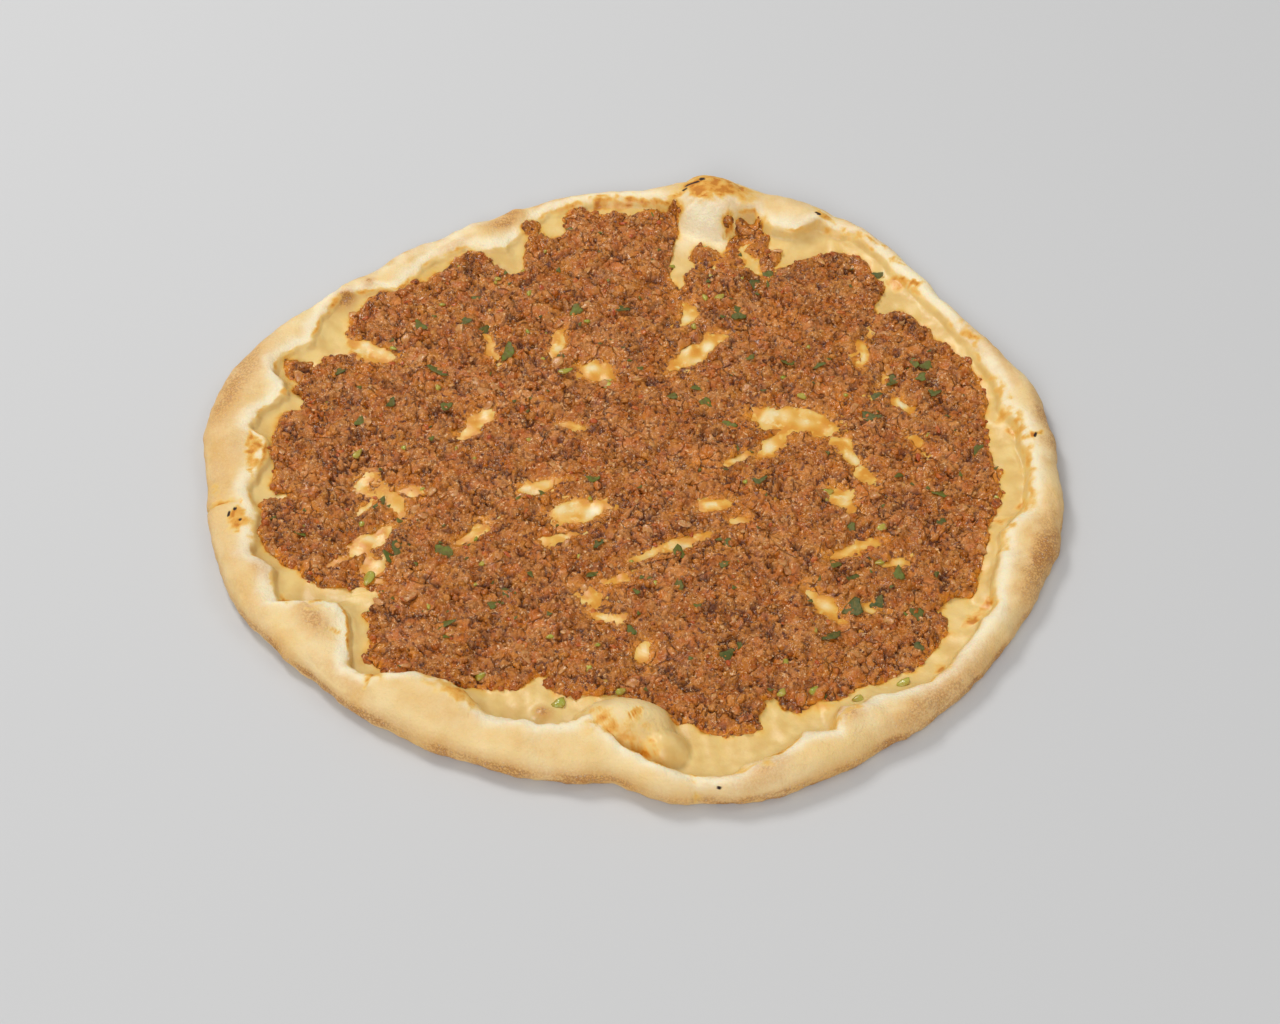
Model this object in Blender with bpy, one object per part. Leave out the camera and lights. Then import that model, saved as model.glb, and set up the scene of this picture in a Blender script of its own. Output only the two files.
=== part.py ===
"""Lahmacun: a thin round flatbread with a folded, puffed crust, baked with a layer of minced meat.

Two solids. The dough is a thin flat floor whose edge is folded in by hand and has puffed in
the oven into an uneven crust, with one large bubble at the back and one at the front. The
meat is a flat ragged layer on the floor that stops short of the crust and is torn open in
many places. +Z is up, the origin is on the table under the middle of the bread, +Y points
to the large bubble, and lengths are in metres, worked out from millimetres.
"""

import math

import bmesh
import bpy
import numpy as np

MM = 0.001

# ---------------------------------------------------------------- driving dimensions, in mm
FLOOR_THICKNESS = 3.6  # the baked dough under the meat
LAYER_GAP = 0.3  # clear air between the dough and the meat laid on it
MEAT_THICKNESS = 3.3  # the mean depth of the spread meat
MEAT_UNEVENNESS = 0.7  # how far its top rises and falls
MEAT_EDGE_CLEARANCE = 1.0  # the meat stays at least this far inside the crust's foot
EDGE_HEIGHT = 3.6  # height at which the crust's outer edge stands out furthest
EDGE_TUCK = 3.5  # how far the underside curls in below that edge
CREST_PLACE = 0.42  # the crest's place between the foot, 0, and the outer edge, 1
MIDDLE = (-0.05, -2.1)  # centre of the angles below, so that the bread's box is centred
MEAT_LUMPS = (7.0, 8.0, 4.3)  # lengths that set the lumps on the meat along x, y and x + y
LUMP_BENDS = ((1.3, 11.0), (1.1, 9.0))  # how far those lumps wander, and over what length
RAGGED = ((0.7, 31, 0.6), (0.5, 47, 2.1))  # waves of the meat's edge: depth, number, start
SPOT_WAVES = ((0.14, 3, 1.7), (0.09, 5, 2.9))  # of a bare spot: share, number, turn per spot
BUBBLE_FULLNESS = 0.6  # how boxy the large bubble is: 0.5 is half an ellipsoid

# ---------------------------------------------------------------- fineness of the solids
SEGMENTS = 144  # points round the bread
FLOOR_RINGS = (0.5, 0.93)  # rings on the floor, as parts of the foot's radius
FACE_STEPS = 4  # rings up the crust's inner face
BACK_STEPS = 5  # rings down its outer side
TUCK_STEPS = 2  # rings round the lower edge
BASE_RINGS = (0.5,)  # rings on the underside, as parts of its radius
MEAT_GRID = 42  # squares across the meat's top
SPOT_POINTS = 8  # points round the smallest bare spot
SPOT_STEP = 3.0  # a longer spot has two more points for each such step of its half length
SLAB_MARGIN = 6.0  # how far the untrimmed slab of meat reaches past its widest edge
TRIM_HALF_HEIGHT = 20.0  # of the prism that trims the slab
WELD = 0.02  # points of the prism closer than this become one

# ---------------------------------------------------------------- finish
DOUGH_COLOUR = (0.80, 0.58, 0.30)
DOUGH_ROUGHNESS = 0.75
MEAT_COLOUR = (0.33, 0.12, 0.05)
MEAT_ROUGHNESS = 0.45

# The crust between its folds: angle from +X in degrees, then in mm the outer radius, the
# radius of the foot where the crust meets the floor, and the height of the crest.
CRUST = (
    (0, 158.0, 145.5, 12.0),
    (12, 157.5, 145.5, 11.5),
    (22, 151.5, 143.5, 10.5),
    (34, 149.5, 141.0, 10.0),
    (45, 153.5, 144.5, 10.0),
    (56, 158.0, 148.5, 11.0),
    (66, 157.5, 141.5, 12.0),
    (76, 159.5, 141.0, 12.0),
    (86, 151.0, 140.0, 10.0),
    (96, 149.0, 139.5, 9.5),
    (108, 146.4, 137.5, 9.0),
    (120, 145.3, 137.5, 8.8),
    (132, 146.5, 137.0, 9.2),
    (142, 148.8, 142.5, 9.2),
    (152, 155.0, 143.0, 10.5),
    (163, 159.8, 142.0, 12.0),
    (173, 159.5, 141.0, 12.5),
    (183, 154.7, 138.5, 10.5),
    (195, 153.5, 139.0, 11.0),
    (206, 151.5, 140.5, 11.0),
    (215, 147.3, 133.5, 11.0),
    (225, 145.0, 133.5, 11.0),
    (235, 144.0, 131.0, 12.0),
    (246, 143.0, 126.0, 12.0),
    (256, 142.3, 124.5, 12.0),
    (266, 141.3, 124.5, 12.5),
    (274, 149.0, 138.0, 11.5),
    (281, 153.5, 146.0, 10.0),
    (290, 155.5, 143.5, 11.0),
    (302, 155.0, 143.0, 11.5),
    (314, 155.8, 145.5, 10.5),
    (326, 156.5, 145.5, 10.5),
    (337, 158.0, 144.0, 11.5),
    (349, 160.0, 145.5, 12.0),
)

# Folds of the crust that reach in over the floor: angle and half width in degrees, then in
# mm how far in they reach and how much higher they make the crest.
FOLDS = (
    (359, 10.0, 10.5, 0.5),
    (344, 3.0, 5.0, 0.0),
    (61, 4.0, 6.5, 1.0),
    (75.5, 8.0, 14.0, 2.0),
    (113, 4.0, 8.0, 0.6),
    (132.5, 2.6, 7.0, 0.5),
    (161, 3.0, 6.5, 0.5),
    (176.5, 4.0, 5.5, 0.0),
    (189, 5.0, 3.0, 0.5),
    (212.5, 4.5, 13.0, 1.5),
    (237, 8.5, 13.0, 2.0),
    (253, 3.5, 3.5, 0.5),
    (265.5, 8.5, 17.5, 4.0),
    (295, 2.6, 4.0, 0.5),
    (302, 3.0, 6.5, 1.0),
)

# The large bubble at the back: angle, radius of its middle, half length along the radius,
# half width across it and height of its top.
BUBBLE = (75.5, 143.3, 17.0, 19.0, 18.3)

# Where the meat ends, in mm from the middle, every 7.5 degrees from +X.
MEAT_EDGE = (
    134.0, 135.5, 139.0, 138.0, 135.0, 134.0, 140.0, 142.0,
    127.0, 125.0, 124.0, 137.0, 137.5, 138.0, 131.5, 127.0,
    132.0, 128.5, 135.0, 134.0, 130.0, 133.0, 133.5, 133.5,
    131.0, 134.5, 135.0, 126.0, 120.0, 117.0, 127.0, 121.0,
    116.0, 110.0, 106.0, 106.0, 106.0, 118.0, 127.5, 128.0,
    129.0, 131.0, 137.5, 137.0, 138.0, 135.5, 134.0, 136.5,
)

# Places where the edge of the meat runs in: angle and half width in degrees, depth in mm.
INLETS = (
    (39, 2.2, 9.0),
    (78.5, 3.0, 26.0),
    (102, 2.2, 11.0),
    (112, 3.0, 17.0),
    (149, 2.6, 6.0),
    (211.5, 3.6, 12.0),
    (252, 2.2, 6.0),
    (293, 2.0, 9.0),
    (328, 2.6, 7.0),
)

# Bare spots where the floor shows through the meat: x and y from the middle of the bread, half
# length and half width in mm, and the angle of the length in degrees.
BARE_SPOTS = (
    (-94.5, 63, 9.5, 4.4, -25),
    (-51, 65, 7.0, 1.8, -75),
    (-26, 67, 5.5, 2.4, 80),
    (-11.5, 51, 5.8, 4.4, -30),
    (-57, 25, 8.5, 3.0, 50),
    (-22, 23, 3.6, 1.8, -20),
    (24.5, 80, 5.2, 3.2, 70),
    (27, 60, 13.5, 3.8, 43),
    (61, 24, 14.0, 5.5, -5),
    (54, 10.5, 7.0, 3.2, 48),
    (81, 7.5, 7.5, 3.2, -66),
    (87, -5, 5.0, 2.6, -60),
    (91, 57, 5.5, 1.6, 80),
    (103, 30, 5.0, 1.8, -55),
    (-97, -5.5, 3.8, 2.6, -80),
    (-86.5, -11.5, 8.0, 2.6, -55),
    (-93, -31.5, 10.5, 2.9, 42),
    (-92, -45, 5.0, 2.8, -80),
    (-57, -29, 6.5, 2.6, 50),
    (-18.5, -19.5, 9.5, 5.6, 5),
    (-33, -7.5, 7.0, 2.6, 15),
    (-14, -61, 4.0, 2.4, -35),
    (-10, -69, 3.8, 2.2, -30),
    (4, -86, 5.2, 2.8, 75),
    (16, -37, 12.5, 2.4, 22),
    (32, -18, 5.0, 2.0, 15),
    (78, -16, 5.6, 3.0, -70),
    (80, -41, 9.5, 2.3, 22),
    (94, -48, 4.5, 1.8, 20),
    (68, -66, 8.0, 2.8, -58),
)


def round_table(angles, values, at):
    """A smooth closed curve through values at angles (degrees), read at the angles in at."""
    angles = np.asarray(angles, float)
    values = np.asarray(values, float)
    before = np.roll(angles, 1)
    before[0] -= 360.0
    after = np.roll(angles, -1)
    after[-1] += 360.0
    slopes = (np.roll(values, -1) - np.roll(values, 1)) / (after - before)
    turned = (np.asarray(at, float) - angles[0]) % 360.0 + angles[0]
    left = np.searchsorted(angles, turned, side="right") - 1
    right = (left + 1) % len(angles)
    span = after[left] - angles[left]
    u = (turned - angles[left]) / span
    return (
        (2 * u**3 - 3 * u**2 + 1) * values[left]
        + (u**3 - 2 * u**2 + u) * span * slopes[left]
        + (3 * u**2 - 2 * u**3) * values[right]
        + (u**3 - u**2) * span * slopes[right]
    )


def hump(at, middle, half_width):
    """1 at the angle middle, flat there, and falling to 0 beyond half_width degrees."""
    away = (np.asarray(at, float) - middle + 180.0) % 360.0 - 180.0
    return np.exp(-((away / half_width) ** 4))


def crust_section(at):
    """Outer radius, foot radius and crest height of the folded crust at the angles in at."""
    angles = [row[0] for row in CRUST]
    outer, foot, crest = (round_table(angles, [row[k] for row in CRUST], at) for k in (1, 2, 3))
    for middle, half_width, reach, rise in FOLDS:
        share = hump(at, middle, half_width)
        foot = foot - reach * share
        crest = crest + rise * share
    return outer, foot, crest


def bubble_height(x, y):
    """Height of the large bubble's skin over the point x, y, measured from the middle."""
    angle, distance, along, across, top = BUBBLE
    turn = math.radians(angle)
    radial = (x * math.cos(turn) + y * math.sin(turn) - distance) / along
    sideways = (y * math.cos(turn) - x * math.sin(turn)) / across
    inside = np.clip(1.0 - radial**2 - sideways**2, 0.0, None)
    return top * inside**BUBBLE_FULLNESS


def dough_rings(at):
    """Radius and height of the dough's surface, one row a ring from the top's middle to the base's."""
    outer, foot, crest = crust_section(at)
    top_of_crust = foot + CREST_PLACE * (outer - foot)
    flat = np.full_like(outer, FLOOR_THICKNESS)
    rings = [(foot * part, flat) for part in (0.0, *FLOOR_RINGS)]
    for step in range(FACE_STEPS):
        turn = 0.5 * math.pi * step / FACE_STEPS
        rings.append((
            top_of_crust - (top_of_crust - foot) * math.cos(turn),
            flat + (crest - flat) * math.sin(turn),
        ))
    for step in range(BACK_STEPS):
        turn = 0.5 * math.pi * step / BACK_STEPS
        rings.append((
            top_of_crust + (outer - top_of_crust) * math.sin(turn),
            EDGE_HEIGHT + (crest - EDGE_HEIGHT) * math.cos(turn),
        ))
    for step in range(TUCK_STEPS + 1):
        turn = 0.5 * math.pi * step / TUCK_STEPS
        rings.append((
            outer - EDGE_TUCK * (1.0 - math.cos(turn)),
            EDGE_HEIGHT * (1.0 - math.sin(turn)) * np.ones_like(outer),
        ))
    for part in (*reversed(BASE_RINGS), 0.0):
        rings.append(((outer - EDGE_TUCK) * part, np.zeros_like(outer)))
    return rings


def meat_radius(at):
    """Radius of the meat's ragged edge at the angles in at, kept clear of the crust's foot."""
    steps = np.arange(len(MEAT_EDGE)) * 360.0 / len(MEAT_EDGE)
    edge = round_table(steps, MEAT_EDGE, at)
    for middle, half_width, depth in INLETS:
        edge = edge - depth * hump(at, middle, half_width)
    for depth, number, start in RAGGED:
        edge = edge + depth * np.sin(number * np.radians(at) + start)
    return np.minimum(edge, crust_section(at)[1] - MEAT_EDGE_CLEARANCE)


def meat_lump(x, y):
    """The meat's unevenness at x, y, from -1 to 1: the mean of three crossing sets of waves."""
    (bend_x, over_y), (bend_y, over_x) = LUMP_BENDS
    along_x, along_y, slanting = MEAT_LUMPS
    return (
        math.sin(x / along_x + bend_x * math.sin(y / over_y))
        + math.sin(y / along_y + bend_y * math.sin(x / over_x + 2.0))
        + math.sin((x + y) / slanting)
    ) / 3.0


def spot_outline(x, y, half_length, half_width, angle, number):
    """The wavy outline of one bare spot, from the middle: an ellipse whose radius swells and shrinks."""
    count = SPOT_POINTS + 2 * int(half_length / SPOT_STEP)
    turn = np.arange(count) * 2.0 * math.pi / count
    wave = np.ones(count)
    for share, waves, start in SPOT_WAVES:
        wave += share * np.sin(waves * turn + start * number)
    along = half_length * wave * np.cos(turn)
    across = half_width * wave * np.sin(turn)
    tilt = math.radians(angle)
    return (
        x + along * math.cos(tilt) - across * math.sin(tilt),
        y + along * math.sin(tilt) + across * math.cos(tilt),
    )


def in_place(x, y, z):
    """Points measured in mm from the middle, as rows of metres in the part's frame."""
    x, y, z = np.broadcast_arrays(x, y, z)
    return np.stack([x + MIDDLE[0], y + MIDDLE[1], z], axis=-1) * MM


def new_collection(name):
    collection = bpy.data.collections.new(name)
    bpy.context.scene.collection.children.link(collection)
    return collection


def new_material(name, colour, roughness):
    material = bpy.data.materials.new(name)
    material.use_nodes = True
    shader = material.node_tree.nodes["Principled BSDF"]
    shader.inputs["Base Color"].default_value = (*colour, 1.0)
    shader.inputs["Roughness"].default_value = roughness
    shader.inputs["Metallic"].default_value = 0.0
    material.diffuse_color = (*colour, 1.0)
    return material


def new_object(name, mesh, material, collection):
    obj = bpy.data.objects.new(name, mesh)
    mesh.materials.clear()
    mesh.materials.append(material)
    collection.objects.link(obj)
    return obj


def make_dough(collection):
    """The bread: a sphere whose rings are moved onto the floor, the folded crust and the base."""
    ring_count = len(dough_rings(np.zeros(1))) - 1
    mesh = bpy.data.meshes.new("dough")
    body = bmesh.new()
    bmesh.ops.create_uvsphere(body, u_segments=SEGMENTS, v_segments=ring_count, radius=1.0)
    sphere = np.array([vert.co[:] for vert in body.verts])
    turn = np.arctan2(sphere[:, 1], sphere[:, 0])
    ring = np.rint(np.arccos(np.clip(sphere[:, 2], -1, 1)) / math.pi * ring_count).astype(int)
    rings = dough_rings(np.degrees(turn))
    every = np.arange(len(turn))
    radius = np.array([row[0] for row in rings])[ring, every]
    height = np.array([row[1] for row in rings])[ring, every]
    x = radius * np.cos(turn)
    y = radius * np.sin(turn)
    first_face_ring = 1 + len(FLOOR_RINGS)
    on_top = (ring > first_face_ring) & (ring < first_face_ring + FACE_STEPS + BACK_STEPS)
    height = np.where(on_top, np.maximum(height, bubble_height(x, y)), height)
    for vert, place in zip(body.verts, in_place(x, y, height)):
        vert.co = place
    body.to_mesh(mesh)
    body.free()
    mesh.shade_smooth()
    crust = new_material("baked_dough", DOUGH_COLOUR, DOUGH_ROUGHNESS)
    return new_object("dough", mesh, crust, collection)


def make_meat_outline(cutters):
    """The prism that trims the meat: the ragged outline with the bare spots left out of it."""
    at = np.arange(SEGMENTS) * 360.0 / SEGMENTS
    edge = meat_radius(at)
    outlines = [(edge * np.cos(np.radians(at)), edge * np.sin(np.radians(at)))]
    outlines += [spot_outline(*spot, number) for number, spot in enumerate(BARE_SPOTS)]
    curve = bpy.data.curves.new("meat_outline", "CURVE")
    curve.dimensions = "2D"
    curve.fill_mode = "BOTH"
    curve.extrude = TRIM_HALF_HEIGHT * MM
    for x, y in outlines:
        spline = curve.splines.new("POLY")
        spline.points.add(len(x) - 1)
        points = in_place(x, y, 0.0)
        spline.points.foreach_set("co", np.column_stack([points, np.ones(len(x))]).ravel())
        spline.use_cyclic_u = True
    drawn = bpy.data.objects.new("meat_outline_curve", curve)
    cutters.objects.link(drawn)
    bpy.context.view_layer.update()
    graph = bpy.context.evaluated_depsgraph_get()
    mesh = bpy.data.meshes.new_from_object(drawn.evaluated_get(graph))
    prism = bpy.data.objects.new("meat_outline", mesh)
    prism.matrix_world = drawn.matrix_world
    bpy.data.objects.remove(drawn)
    body = bmesh.new()
    body.from_mesh(mesh)
    bmesh.ops.remove_doubles(body, verts=body.verts, dist=WELD * MM)
    bmesh.ops.recalc_face_normals(body, faces=body.faces)
    body.to_mesh(mesh)
    body.free()
    cutters.objects.link(prism)
    prism.hide_render = True
    prism.display_type = "WIRE"
    return prism


def make_meat(collection, cutters):
    """The spread meat: an uneven slab on the floor, trimmed to its ragged outline."""
    bottom = FLOOR_THICKNESS + LAYER_GAP
    reach = (max(MEAT_EDGE) + SLAB_MARGIN) * MM
    mesh = bpy.data.meshes.new("meat_topping")
    body = bmesh.new()
    bmesh.ops.create_grid(body, x_segments=MEAT_GRID, y_segments=MEAT_GRID, size=reach)
    top = body.faces[:]
    lower = bmesh.ops.extrude_face_region(body, geom=top)["geom"]
    lower_faces = [item for item in lower if isinstance(item, bmesh.types.BMFace)]
    lower_verts = {item for item in lower if isinstance(item, bmesh.types.BMVert)}
    for vert in body.verts:
        vert.co.x += MIDDLE[0] * MM
        vert.co.y += MIDDLE[1] * MM
        if vert in lower_verts:
            vert.co.z = bottom * MM
            continue
        lump = meat_lump(vert.co.x / MM, vert.co.y / MM)
        vert.co.z = (bottom + MEAT_THICKNESS + MEAT_UNEVENNESS * lump) * MM
    bmesh.ops.dissolve_faces(body, faces=lower_faces, use_verts=True)
    bmesh.ops.recalc_face_normals(body, faces=body.faces)
    body.to_mesh(mesh)
    body.free()
    mince = new_material("minced_meat", MEAT_COLOUR, MEAT_ROUGHNESS)
    meat = new_object("meat_topping", mesh, mince, collection)
    trim = meat.modifiers.new("trim", "BOOLEAN")
    trim.operation = "INTERSECT"
    trim.solver = "EXACT"
    trim.object = make_meat_outline(cutters)
    return meat


for leftover in list(bpy.data.objects):
    bpy.data.objects.remove(leftover)

lahmacun = new_collection("lahmacun")
trimming = new_collection("cutters")
make_dough(lahmacun)
make_meat(lahmacun, trimming)
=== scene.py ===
"""Lahmacun on a pale table: a hand-folded, puffed bread crust baked under a ragged layer of mince."""

import math

import bpy
import numpy as np
from mathutils import Matrix, Vector


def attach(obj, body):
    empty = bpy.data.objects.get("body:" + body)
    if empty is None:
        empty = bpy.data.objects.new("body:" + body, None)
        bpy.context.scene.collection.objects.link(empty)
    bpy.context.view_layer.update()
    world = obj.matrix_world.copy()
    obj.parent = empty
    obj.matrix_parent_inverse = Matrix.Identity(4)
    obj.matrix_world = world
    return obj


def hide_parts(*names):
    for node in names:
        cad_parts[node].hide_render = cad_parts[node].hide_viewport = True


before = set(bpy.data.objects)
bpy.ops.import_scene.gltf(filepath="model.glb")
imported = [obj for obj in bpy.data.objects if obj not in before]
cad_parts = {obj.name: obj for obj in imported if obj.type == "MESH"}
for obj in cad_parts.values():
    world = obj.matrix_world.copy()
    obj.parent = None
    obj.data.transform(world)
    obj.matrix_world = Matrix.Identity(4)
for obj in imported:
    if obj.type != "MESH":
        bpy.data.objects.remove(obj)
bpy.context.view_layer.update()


# ---------------------------------------------------------------- table, light and camera
# The bread lies on a plain pale table top of smooth painted board, much wider than it.
# One broad soft light stands behind it on the left, and a pale room fills the shadows.
# The camera looks down on it from the front at about 48 degrees.

MM = 0.001
TABLE_SIZE = 8.0
TABLE_GREY = 0.61
LAMPS = (
    ("window_light", (-0.55, 0.80, 1.20), 0.40, 9.5),
    ("front_light", (-0.50, -1.80, 1.60), 1.30, 26.0),
    ("side_light", (0.95, 0.20, 1.20), 0.50, 2.0),
)  # name, place, side of the square in metres, watts
ROOM_BRIGHTNESS = 0.38
CAMERA_PLACE = (0.00495, -0.6574, 0.7228)
CAMERA_PITCH = 0.8484  # down from level
CAMERA_YAW = -0.0014
CAMERA_ROLL = -0.0245
CAMERA_LENS = 74.23


def shade(red, green, blue):
    """The linear colour of a finish that shows as red, green, blue out of 255 in white light:
    each part p becomes ((p + 0.055) / 1.055) ^ 2.4, and p / 12.92 where it is very dark."""
    parts = np.array([red, green, blue]) / 255.0
    linear = np.where(parts > 0.04045, ((parts + 0.055) / 1.055) ** 2.4, parts / 12.92)
    return (*linear.tolist(), 1.0)


def new_finish(name, roughness):
    """A material of one shader, with its node tree and that shader."""
    material = bpy.data.materials.new(name)
    material.use_nodes = True
    shader = material.node_tree.nodes["Principled BSDF"]
    shader.inputs["Roughness"].default_value = roughness
    return material, material.node_tree, shader


scene = bpy.context.scene
scene.view_settings.view_transform = "Standard"

bpy.ops.mesh.primitive_plane_add(size=TABLE_SIZE, location=(0.0, 0.0, -0.0002))
table_top = bpy.context.object
table_top.name = "table_top"
paint, _, paint_shader = new_finish("pale_paint", 0.7)
paint_shader.inputs["Base Color"].default_value = (TABLE_GREY, TABLE_GREY, TABLE_GREY, 1.0)
table_top.data.materials.append(paint)

for name, place, side, watts in LAMPS:
    lamp_data = bpy.data.lights.new(name, "AREA")
    lamp_data.shape = "SQUARE"
    lamp_data.size = side
    lamp_data.energy = watts
    lamp = bpy.data.objects.new(name, lamp_data)
    scene.collection.objects.link(lamp)
    lamp.location = place
    lamp.rotation_euler = (-Vector(place)).to_track_quat("-Z", "Y").to_euler()

room = bpy.data.worlds.new("pale_room")
room.use_nodes = True
room_light = room.node_tree.nodes["Background"]
room_light.inputs["Color"].default_value = (1.0, 1.0, 1.0, 1.0)
room_light.inputs["Strength"].default_value = ROOM_BRIGHTNESS
scene.world = room

ahead = Vector((
    math.sin(CAMERA_YAW) * math.cos(CAMERA_PITCH),
    math.cos(CAMERA_YAW) * math.cos(CAMERA_PITCH),
    -math.sin(CAMERA_PITCH),
))
level_right = Vector((math.cos(CAMERA_YAW), -math.sin(CAMERA_YAW), 0.0))
level_up = level_right.cross(ahead)
rolled_right = math.cos(CAMERA_ROLL) * level_right + math.sin(CAMERA_ROLL) * level_up
rolled_up = math.cos(CAMERA_ROLL) * level_up - math.sin(CAMERA_ROLL) * level_right
camera_data = bpy.data.cameras.new("camera")
camera_data.lens = CAMERA_LENS
camera_data.sensor_width = 36.0
camera = bpy.data.objects.new("camera", camera_data)
scene.collection.objects.link(camera)
camera.matrix_world = Matrix.Translation(CAMERA_PLACE) @ Matrix(
    (rolled_right, rolled_up, -ahead)
).transposed().to_4x4()
scene.camera = camera


# ---------------------------------------------------------------- the bread
# Wheat dough rolled out thin, its edge folded in by hand and baked on a hot stone: the floor
# stays thin, the folded edge puffs into an uneven crust with crisp lips, and what touches the
# stone or stands highest browns. Fat from the meat soaks the floor inside the crust.

MIDDLE = (-0.05, -2.1)  # centre of all the angles and places below, in mm
FLOOR = 3.6  # thickness of the floor
EDGE_HEIGHT = 3.6  # where the outer edge stands out furthest
EDGE_TUCK = 3.5  # how far the underside curls in below it

# The crust between its folds: angle from +X in degrees, then in mm the outer radius, the
# radius of the inner foot and the height of the crest.
CRUST = np.array([
    (0, 158.0, 145.5, 12.0), (12, 157.5, 145.5, 11.5), (22, 151.5, 143.5, 9.6),
    (34, 149.5, 141.0, 8.6), (45, 153.5, 144.5, 8.6), (56, 158.0, 148.5, 10.2),
    (66, 157.5, 141.5, 12.0), (76, 159.5, 141.0, 12.0), (86, 151.0, 140.0, 10.0),
    (96, 149.0, 139.5, 9.2), (108, 146.4, 137.5, 8.4), (120, 145.3, 137.5, 8.2),
    (132, 146.5, 137.0, 8.4), (142, 148.8, 142.5, 8.8), (152, 155.0, 143.0, 9.8),
    (163, 159.8, 142.0, 10.6), (173, 159.5, 141.0, 11.0), (183, 154.7, 138.5, 10.0),
    (195, 153.5, 139.0, 11.0), (206, 151.5, 140.5, 11.0), (215, 147.3, 133.5, 11.0),
    (225, 145.0, 133.5, 11.0), (235, 144.0, 131.0, 12.0), (246, 143.0, 126.0, 12.0),
    (256, 142.3, 124.5, 12.0), (266, 141.3, 124.5, 12.5), (274, 149.0, 138.0, 11.5),
    (281, 153.5, 146.0, 10.0), (290, 155.5, 143.5, 11.0), (302, 155.0, 143.0, 11.5),
    (314, 155.8, 145.5, 10.5), (326, 156.5, 145.5, 10.5), (337, 158.0, 144.0, 11.5),
    (349, 160.0, 145.5, 12.0),
])

# Folds that reach in over the floor: angle, half width in degrees, reach and rise in mm.
FOLDS = (
    (359, 10.0, 3.0, 0.5), (344, 3.0, 5.0, 0.0), (61, 4.0, 6.5, 1.0), (75.5, 8.0, 14.0, 2.0),
    (113, 4.0, 8.0, 0.6), (132.5, 2.6, 7.0, 0.5), (161, 3.0, 6.5, 0.5), (176.5, 4.0, 5.5, 0.0),
    (189, 5.0, 3.0, 0.5), (212.5, 4.5, 13.0, 1.5), (237, 8.5, 13.0, 2.0), (253, 3.5, 3.5, 0.5),
    (261.0, 5.0, 9.0, 0.5), (295, 2.6, 4.0, 0.5), (302, 3.0, 6.5, 1.0),
)

# The edge of the fold's lip, where it drops to the floor: angle and radius.
LIP = np.array([
    (1.7, 144.3), (4.1, 145.7), (9.1, 140.5), (12.0, 142.5), (32.1, 141.5), (38.5, 144.7),
    (43.2, 144.0), (49.5, 149.8), (58.1, 145.7), (60.4, 137.5), (64.2, 135.5), (68.0, 140.5),
    (76.0, 142.0), (86.0, 141.0), (100.2, 142.9), (112.0, 125.5), (115.0, 127.0), (118.1, 132.6),
    (124.1, 134.4), (133.5, 128.5), (135.2, 135.0), (138.4, 138.0), (142.2, 144.4),
    (151.0, 137.5), (156.8, 143.5), (159.5, 144.3), (160.6, 138.4), (163.0, 134.0),
    (166.0, 135.7), (168.8, 141.2), (171.8, 140.8), (173.5, 135.2), (177.6, 132.8),
    (183.0, 138.7), (186.0, 139.0), (188.0, 135.6), (197.4, 140.9), (201.2, 135.8),
    (207.5, 139.8), (209.9, 135.0), (210.9, 126.4), (213.0, 121.5), (216.0, 122.0),
    (218.6, 125.0), (223.6, 134.8), (227.0, 136.0), (229.3, 135.0), (230.7, 129.7),
    (233.0, 123.5), (238.0, 120.4), (243.1, 122.5), (247.2, 127.0), (253.0, 124.1),
    (256.9, 127.8), (263.0, 118.6), (268.9, 132.1), (275.6, 144.5), (282.3, 146.9),
    (286.7, 143.5), (290.0, 142.9), (294.2, 139.3), (298.5, 143.5), (299.8, 138.0),
    (301.3, 136.6), (303.1, 139.0), (307.2, 139.2), (314.1, 147.5), (316.5, 148.7),
    (318.5, 146.7), (327.0, 146.0), (329.2, 148.9), (331.5, 144.8), (334.0, 142.5),
    (343.6, 139.2), (349.4, 145.9), (356.7, 146.3),
])

# The bubbles: angle, radius of the middle, half lengths across and round the crust, height.
BUBBLES = ((75.5, 143.3, 17.0, 19.0, 18.3), (268.5, 119.5, 12.5, 19.0, 14.8), (274.5, 130.0, 9.0, 10.0, 11.5))

# The crust's inner side: angle, place of the crest between the foot, 0, and the outer edge, 1,
# the share of its height that the floor climbs before the lip, and the lip's share of the rest.
INNER_SIDE = np.array([
    (0, 0.44, 0.30, 0.30), (14, 0.42, 0.40, 0.30), (26, 0.46, 0.45, 0.26), (45, 0.46, 0.42, 0.30),
    (60, 0.45, 0.30, 0.50), (68, 0.42, 0.25, 0.40), (76, 0.42, 0.20, 0.10), (84, 0.42, 0.30, 0.25),
    (92, 0.50, 0.42, 0.28), (110, 0.50, 0.48, 0.26), (130, 0.48, 0.50, 0.26), (150, 0.44, 0.46, 0.34),
    (170, 0.42, 0.42, 0.40), (190, 0.42, 0.42, 0.40), (205, 0.38, 0.36, 0.44), (225, 0.40, 0.30, 0.50),
    (250, 0.42, 0.26, 0.60), (266, 0.42, 0.10, 0.75), (280, 0.42, 0.26, 0.60), (300, 0.42, 0.34, 0.50),
    (325, 0.42, 0.38, 0.42), (345, 0.42, 0.34, 0.36),
])
APRON = 10.0  # how far inside the lip the floor begins to climb
LIP_WIDTH = 1.9  # how far the lip's rounded front reaches
FACE_LEAST = 4.2  # least distance from the foot to the crest
LIP_ZONE = (-2.2, 3.4)  # where the uneven lip lies, measured outwards from the foot

# How brown the outer edge is baked: angle and share.
BROWNING = np.array([
    (0, 0.8), (20, 0.8), (45, 0.7), (90, 0.7), (120, 0.8), (150, 0.6), (170, 0.7), (185, 0.6),
    (200, 0.8), (225, 1.0), (250, 0.95), (275, 0.85), (300, 0.95), (330, 0.9), (345, 0.9),
])

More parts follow.
